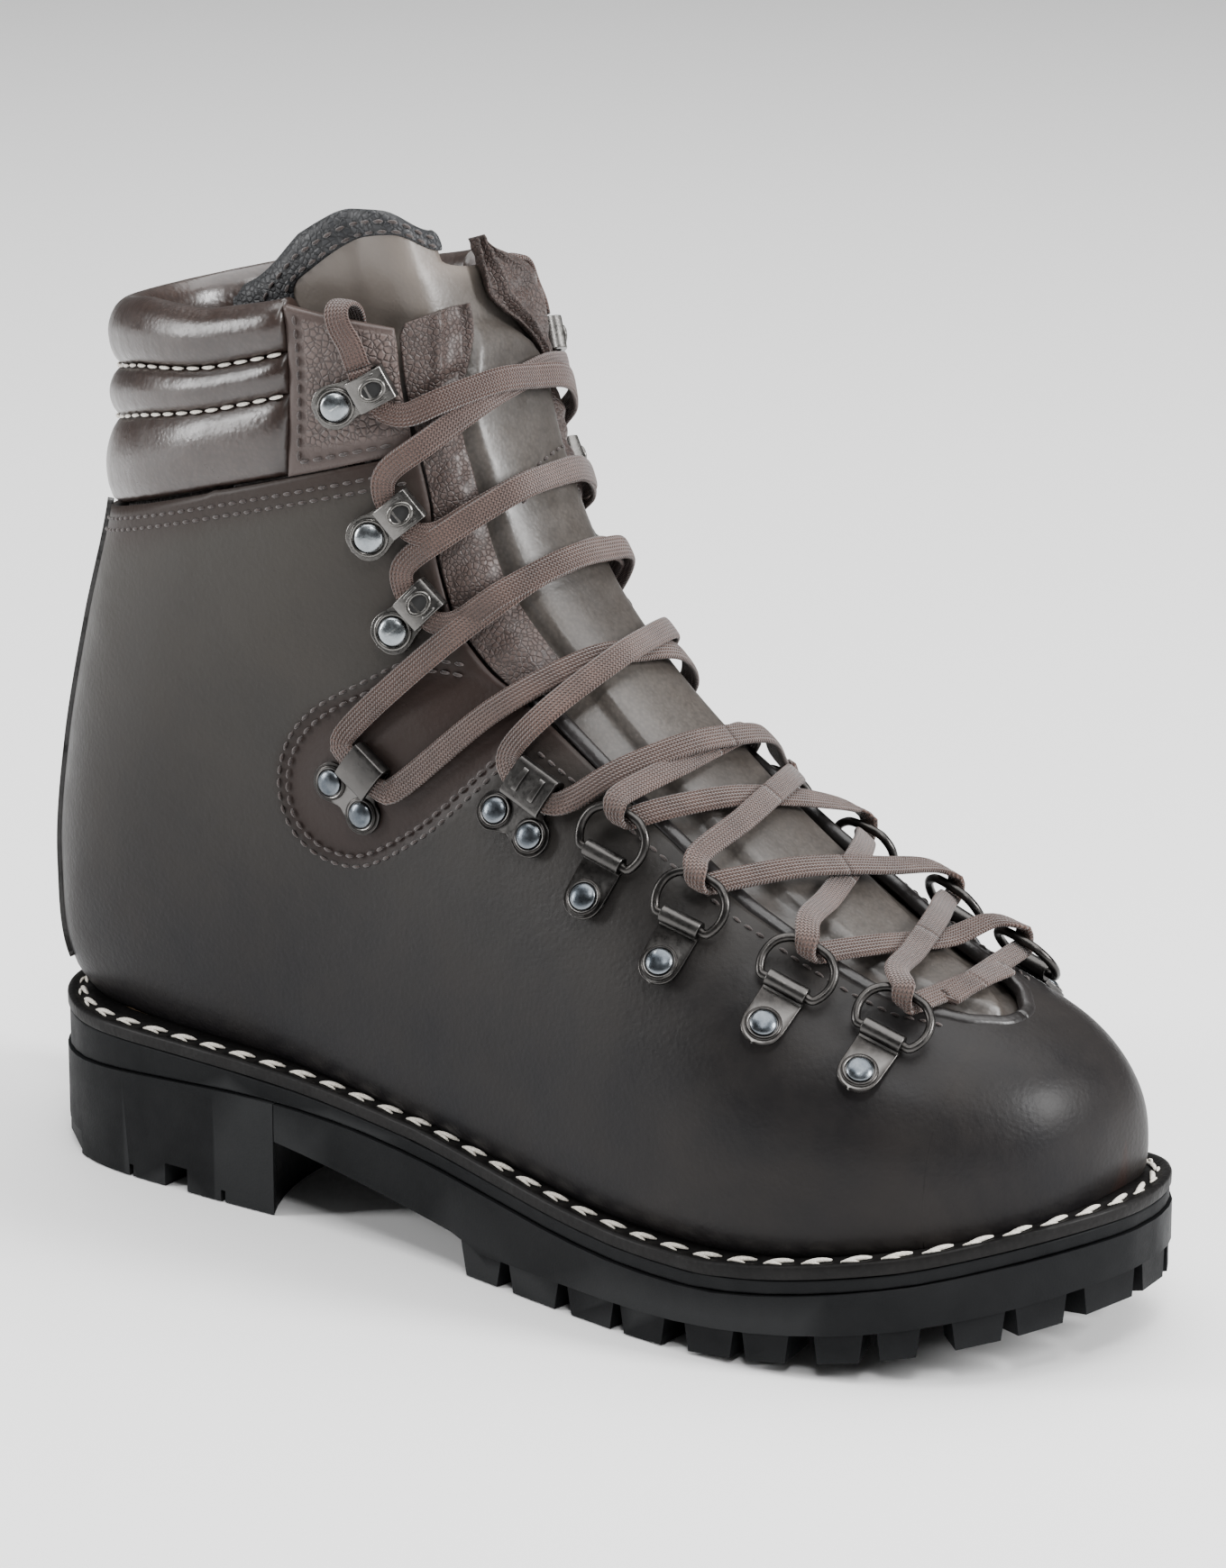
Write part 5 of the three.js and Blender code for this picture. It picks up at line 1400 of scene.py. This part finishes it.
def ring_plate(word, side, row):
    s = SEATS[row, side]
    half = [(0, 15.9), (2.4, 15.3), (4.3, 13.6), (5.1, 11), (5.2, 8), (5.25, 5), (5.3, 1.2)]
    flap = extrude(mirrored(half, 26), PLATE_BASE, PLATE_TOP)
    turn = np.linspace(0, 2 * np.pi, 26, endpoint=False)
    barrel = extrude(np.stack([2.15 * np.cos(turn), RING_PIVOT + 2.15 * np.sin(turn)], 1)[::-1],
                     -5.25, 5.25, "a")
    fold = extrude([(2.6, PLATE_TOP - 0.4), (0.4, RING_PIVOT + 2.1), (-0.6, RING_PIVOT + 1.6),
                    (-0.4, RING_PIVOT), (1.4, PLATE_BASE + 0.4)][::-1], -5.2, 5.2, "a")
    assemble(f"{word}_ring_plate_{row + 1}_folded",
             [(flap, 0), (barrel, 0), (fold, 0), *rivet_parts(0, 10.6, RIVET_BASE)],
             s, [BRONZE, RIVET], "bronzed_steel", [f"{word}_ring_plate_{row + 1}"])


def ring_wire(word, side, row):
    s = SEATS[row, side]
    half = [(7, 0), (8.5, -2.6), (8.8, -5.6), (7.8, -8.6), (5.2, -10.9), (2.4, -11.55)]
    bow = half + [(0, -RING_REACH)] + [(-a, b) for a, b in half[::-1]]
    bar = [(a, 0) for a in (-4.5, -2, 0, 2, 4.5)]
    flat = curve(bow + bar, 110, closed=True)
    tilt = lambda b: (b * math.cos(RING_TILT), RING_PIVOT - b * math.sin(RING_TILT))
    centre = np.array([s["origin"] + s["a"] * a + s["b"] * tilt(b)[0] + s["c"] * tilt(b)[1]
                       for a, b in flat])
    along = unit(np.roll(centre, -1, 0) - np.roll(centre, 1, 0))
    normal = s["b"] * math.sin(RING_TILT) + s["c"] * math.cos(RING_TILT)
    across = unit(np.cross(along, normal))
    turn = full_turn(12)
    rings = (centre[:, None] + across[:, None] * (WIRE_RADIUS * np.cos(turn))[None, :, None]
             + normal * (WIRE_RADIUS * np.sin(turn))[None, :, None])
    faces = grid_faces(len(centre), len(turn), around=True, loop=True)
    node = f"{word}_ring_{row + 1}"
    piece(f"{node}_wire", rings.reshape(-1, 3), faces, BRONZE, "bronzed_steel", [node], node)


def hook_strip(width, reach, gap, low=PLATE_BASE):
    """The bent strip of a hook: foot on the leather, round neck, arm over the lace."""
    t = 1.25
    top = low + t + gap
    outer = [(6.5, low), (1, low), (-1.2, low + 0.1), (-2.4, low + 1.2), (-2.7, low + 2.6),
             (-2.7, top - 0.6), (-2.2, top + 0.7), (-1, top + t), (reach * 0.5, top + t + 0.25),
             (reach, top + t - 0.1), (reach + 1, top + t - 0.9)]
    inner = [(reach + 0.7, top - 0.75), (reach, top - 0.1), (reach * 0.5, top + 0.2),
             (-0.6, top - 0.1), (-1.25, top - 0.9), (-1.4, low + 2.2), (-0.9, low + t + 0.2),
             (0.4, low + t), (6.5, low + t)]
    return extrude((outer + inner)[::-1], -width / 2, width / 2, "a")


def raised_ring(a, b, c, half_a, half_b, wire):
    """A raised oval on top of a hook's arm, with a dark floor inside it that paints the shade in the
    hollow.
    """
    turn = full_turn(32)
    centre = np.stack([a + half_a * np.cos(turn), b + half_b * np.sin(turn), np.full(32, c)], 1)
    out = np.stack([np.cos(turn), np.sin(turn), np.zeros(32)], 1)
    small = full_turn(8)
    rings = (centre[:, None] + out[:, None] * (wire * np.cos(small))[None, :, None]
             + np.array([0, 0, 1]) * (wire * np.sin(small))[None, :, None])
    faces = grid_faces(len(turn), len(small), around=True, loop=True)
    floor = lathe([(0.9, c - 0.7), (0.9, c + 0.12), (0.05, c + 0.14)], 0, 0, 24)[0]
    floor = floor * np.array([half_a, half_b, 1]) + np.array([a, b, 0])
    return [((rings.reshape(-1, 3), faces), 0),
            ((floor, grid_faces(3, 24, around=True, ends=True)), 2)]


def hook(word, side, row):
    kind = ROWS[row][0]
    s = SEATS[row, side]
    if kind == "speed_hook":
        half = [(0, 18), (3.2, 17.2), (5.2, 14.8), (5.4, 12), (4.6, 9), (4.3, 6), (4.3, 3.4)]
        parts = [(extrude(mirrored(half, 28), PLATE_BASE, PLATE_TOP), 0),
                 (hook_strip(8.4, 6.6, 3.0), 0), *rivet_parts(0, 12.5, RIVET_BASE, 1.08)]
        parts += raised_ring(0, 2.1, 5.95, 2.3, 3.0, 0.62)
        for a in (-3.3, 3.3):
            rib = extrude(round_section(5.6, 1.3, 10)[::-1] + np.array([2.2, 5.5]), a - 0.35,
                          a + 0.35, "a")
            parts.append((rib, 0))
        name, node = f"{word}_speed_hook_{row + 1}_bent", f"{word}_speed_hook_{row + 1}"
        assemble(name, parts, s, [NICKEL, BRIGHT_RIVET, PAINTED_SHADE_FILL], "nickel", [node], 0.2)
        return
    width = 12 if kind == "lock_hook" else 10
    half = [(0, 15.4), (2.4, 16.4), (5.6, 17.6), (9.2, 16.2), (10.6, 12.6), (9.3, 9),
            (6.4, 7.4), (5.2, 5.6), (5.1, 3.4)]
    parts = [(extrude(mirrored(half, 34), PLATE_BASE, PLATE_TOP), 0),
             (hook_strip(width, 6.8, 3.0), 0)]
    for a in (-5.6, 5.6):
        parts += rivet_parts(a, 12.5, RIVET_BASE, 0.98)
    if kind == "lock_hook":
        for a in (-2.6, 2.6):
            parts.append((extrude(round_section(6.4, 1.5, 12)[::-1] + np.array([2.4, 5.75]),
                                  a - 0.8, a + 0.8, "a"), 0))
    assemble(f"{word}_{kind}_bent", parts, s, [BRONZE, RIVET], "bronzed_steel",
             [f"{word}_{kind}"], 0.25)


for word, side in SIDES:
    for row, (kind, _, _) in enumerate(ROWS):
        if kind == "ring":
            ring_plate(word, side, row)
            ring_wire(word, side, row)
        else:
            hook(word, side, row)


# ---- CAD nodes that stay -----------------------------------------
def finish_node(node, material, bevel=None):
    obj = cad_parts[node]
    obj.data.materials.clear()
    obj.data.materials.append(material)
    obj.data.polygons.foreach_set("use_smooth", [True] * len(obj.data.polygons))
    obj.data.polygons.foreach_set("material_index", [0] * len(obj.data.polygons))
    if bevel:
        merge = obj.modifiers.new("weld", "WELD")
        merge.merge_threshold = WELD
        flat = obj.modifiers.new("flat_faces", "DECIMATE")
        flat.decimate_type, flat.angle_limit = "DISSOLVE", math.radians(1.2)
        soften(obj, bevel, 3, 32)


finish_node("outsole", RUBBER, 0.7)
finish_node("heel_block", RUBBER, 0.9)
finish_node("midsole", RUBBER, 0.6)
for node, material in (("cork_filler", CORK), ("shank", STEEL), ("insole_board", BOARD),
                       ("toe_puff", BOARD), ("heel_counter", BOARD), ("ankle_padding", FOAM)):
    finish_node(node, material)

# ---- floor and light ---------------------------------------------
floor_mesh = bpy.data.meshes.new("floor")
FLOOR_HALF, FLOOR_Z = 15, -0.0003
CORNERS = ((-1, -1), (1, -1), (1, 1), (-1, 1))
floor_mesh.from_pydata([(x * FLOOR_HALF, y * FLOOR_HALF, FLOOR_Z) for x, y in CORNERS], [],
                       [(0, 1, 2, 3)])
floor_obj = bpy.data.objects.new("floor", floor_mesh)
bpy.context.scene.collection.objects.link(floor_obj)
paper = Finish("paper", Roughness=0.9, Specular_IOR_Level=0.1)
floor_mesh.materials.append(paper.set((0.86, 0.86, 0.86, 1)))

world = bpy.data.worlds.new("studio")
world.use_nodes = True
world.node_tree.nodes["Background"].inputs["Color"].default_value = (1, 1, 1, 1)
world.node_tree.nodes["Background"].inputs["Strength"].default_value = 0.16
bpy.context.scene.world = world


def softbox(name, place, size, power, aim=(0, 0, 0.1)):
    """A rectangular light, in metres and watts, aimed at a point."""
    data = bpy.data.lights.new(name, "AREA")
    data.shape, data.size, data.size_y, data.energy = "RECTANGLE", size[0], size[1], power
    light = bpy.data.objects.new(name, data)
    light.location = place
    light.rotation_mode = "QUATERNION"
    light.rotation_quaternion = (Vector(aim) - Vector(place)).to_track_quat("-Z", "Y")
    bpy.context.scene.collection.objects.link(light)


softbox("above", (0.0, 0.25, 1.9), (2.6, 2.2), 92, (0, 0.1, 0))
softbox("right", (1.35, 0.3, 0.75), (0.3, 0.6), 36)
softbox("left", (-1.1, -0.9, 0.55), (0.3, 0.7), 18)
softbox("high_front", (0.75, -0.9, 1.5), (0.3, 0.3), 10)
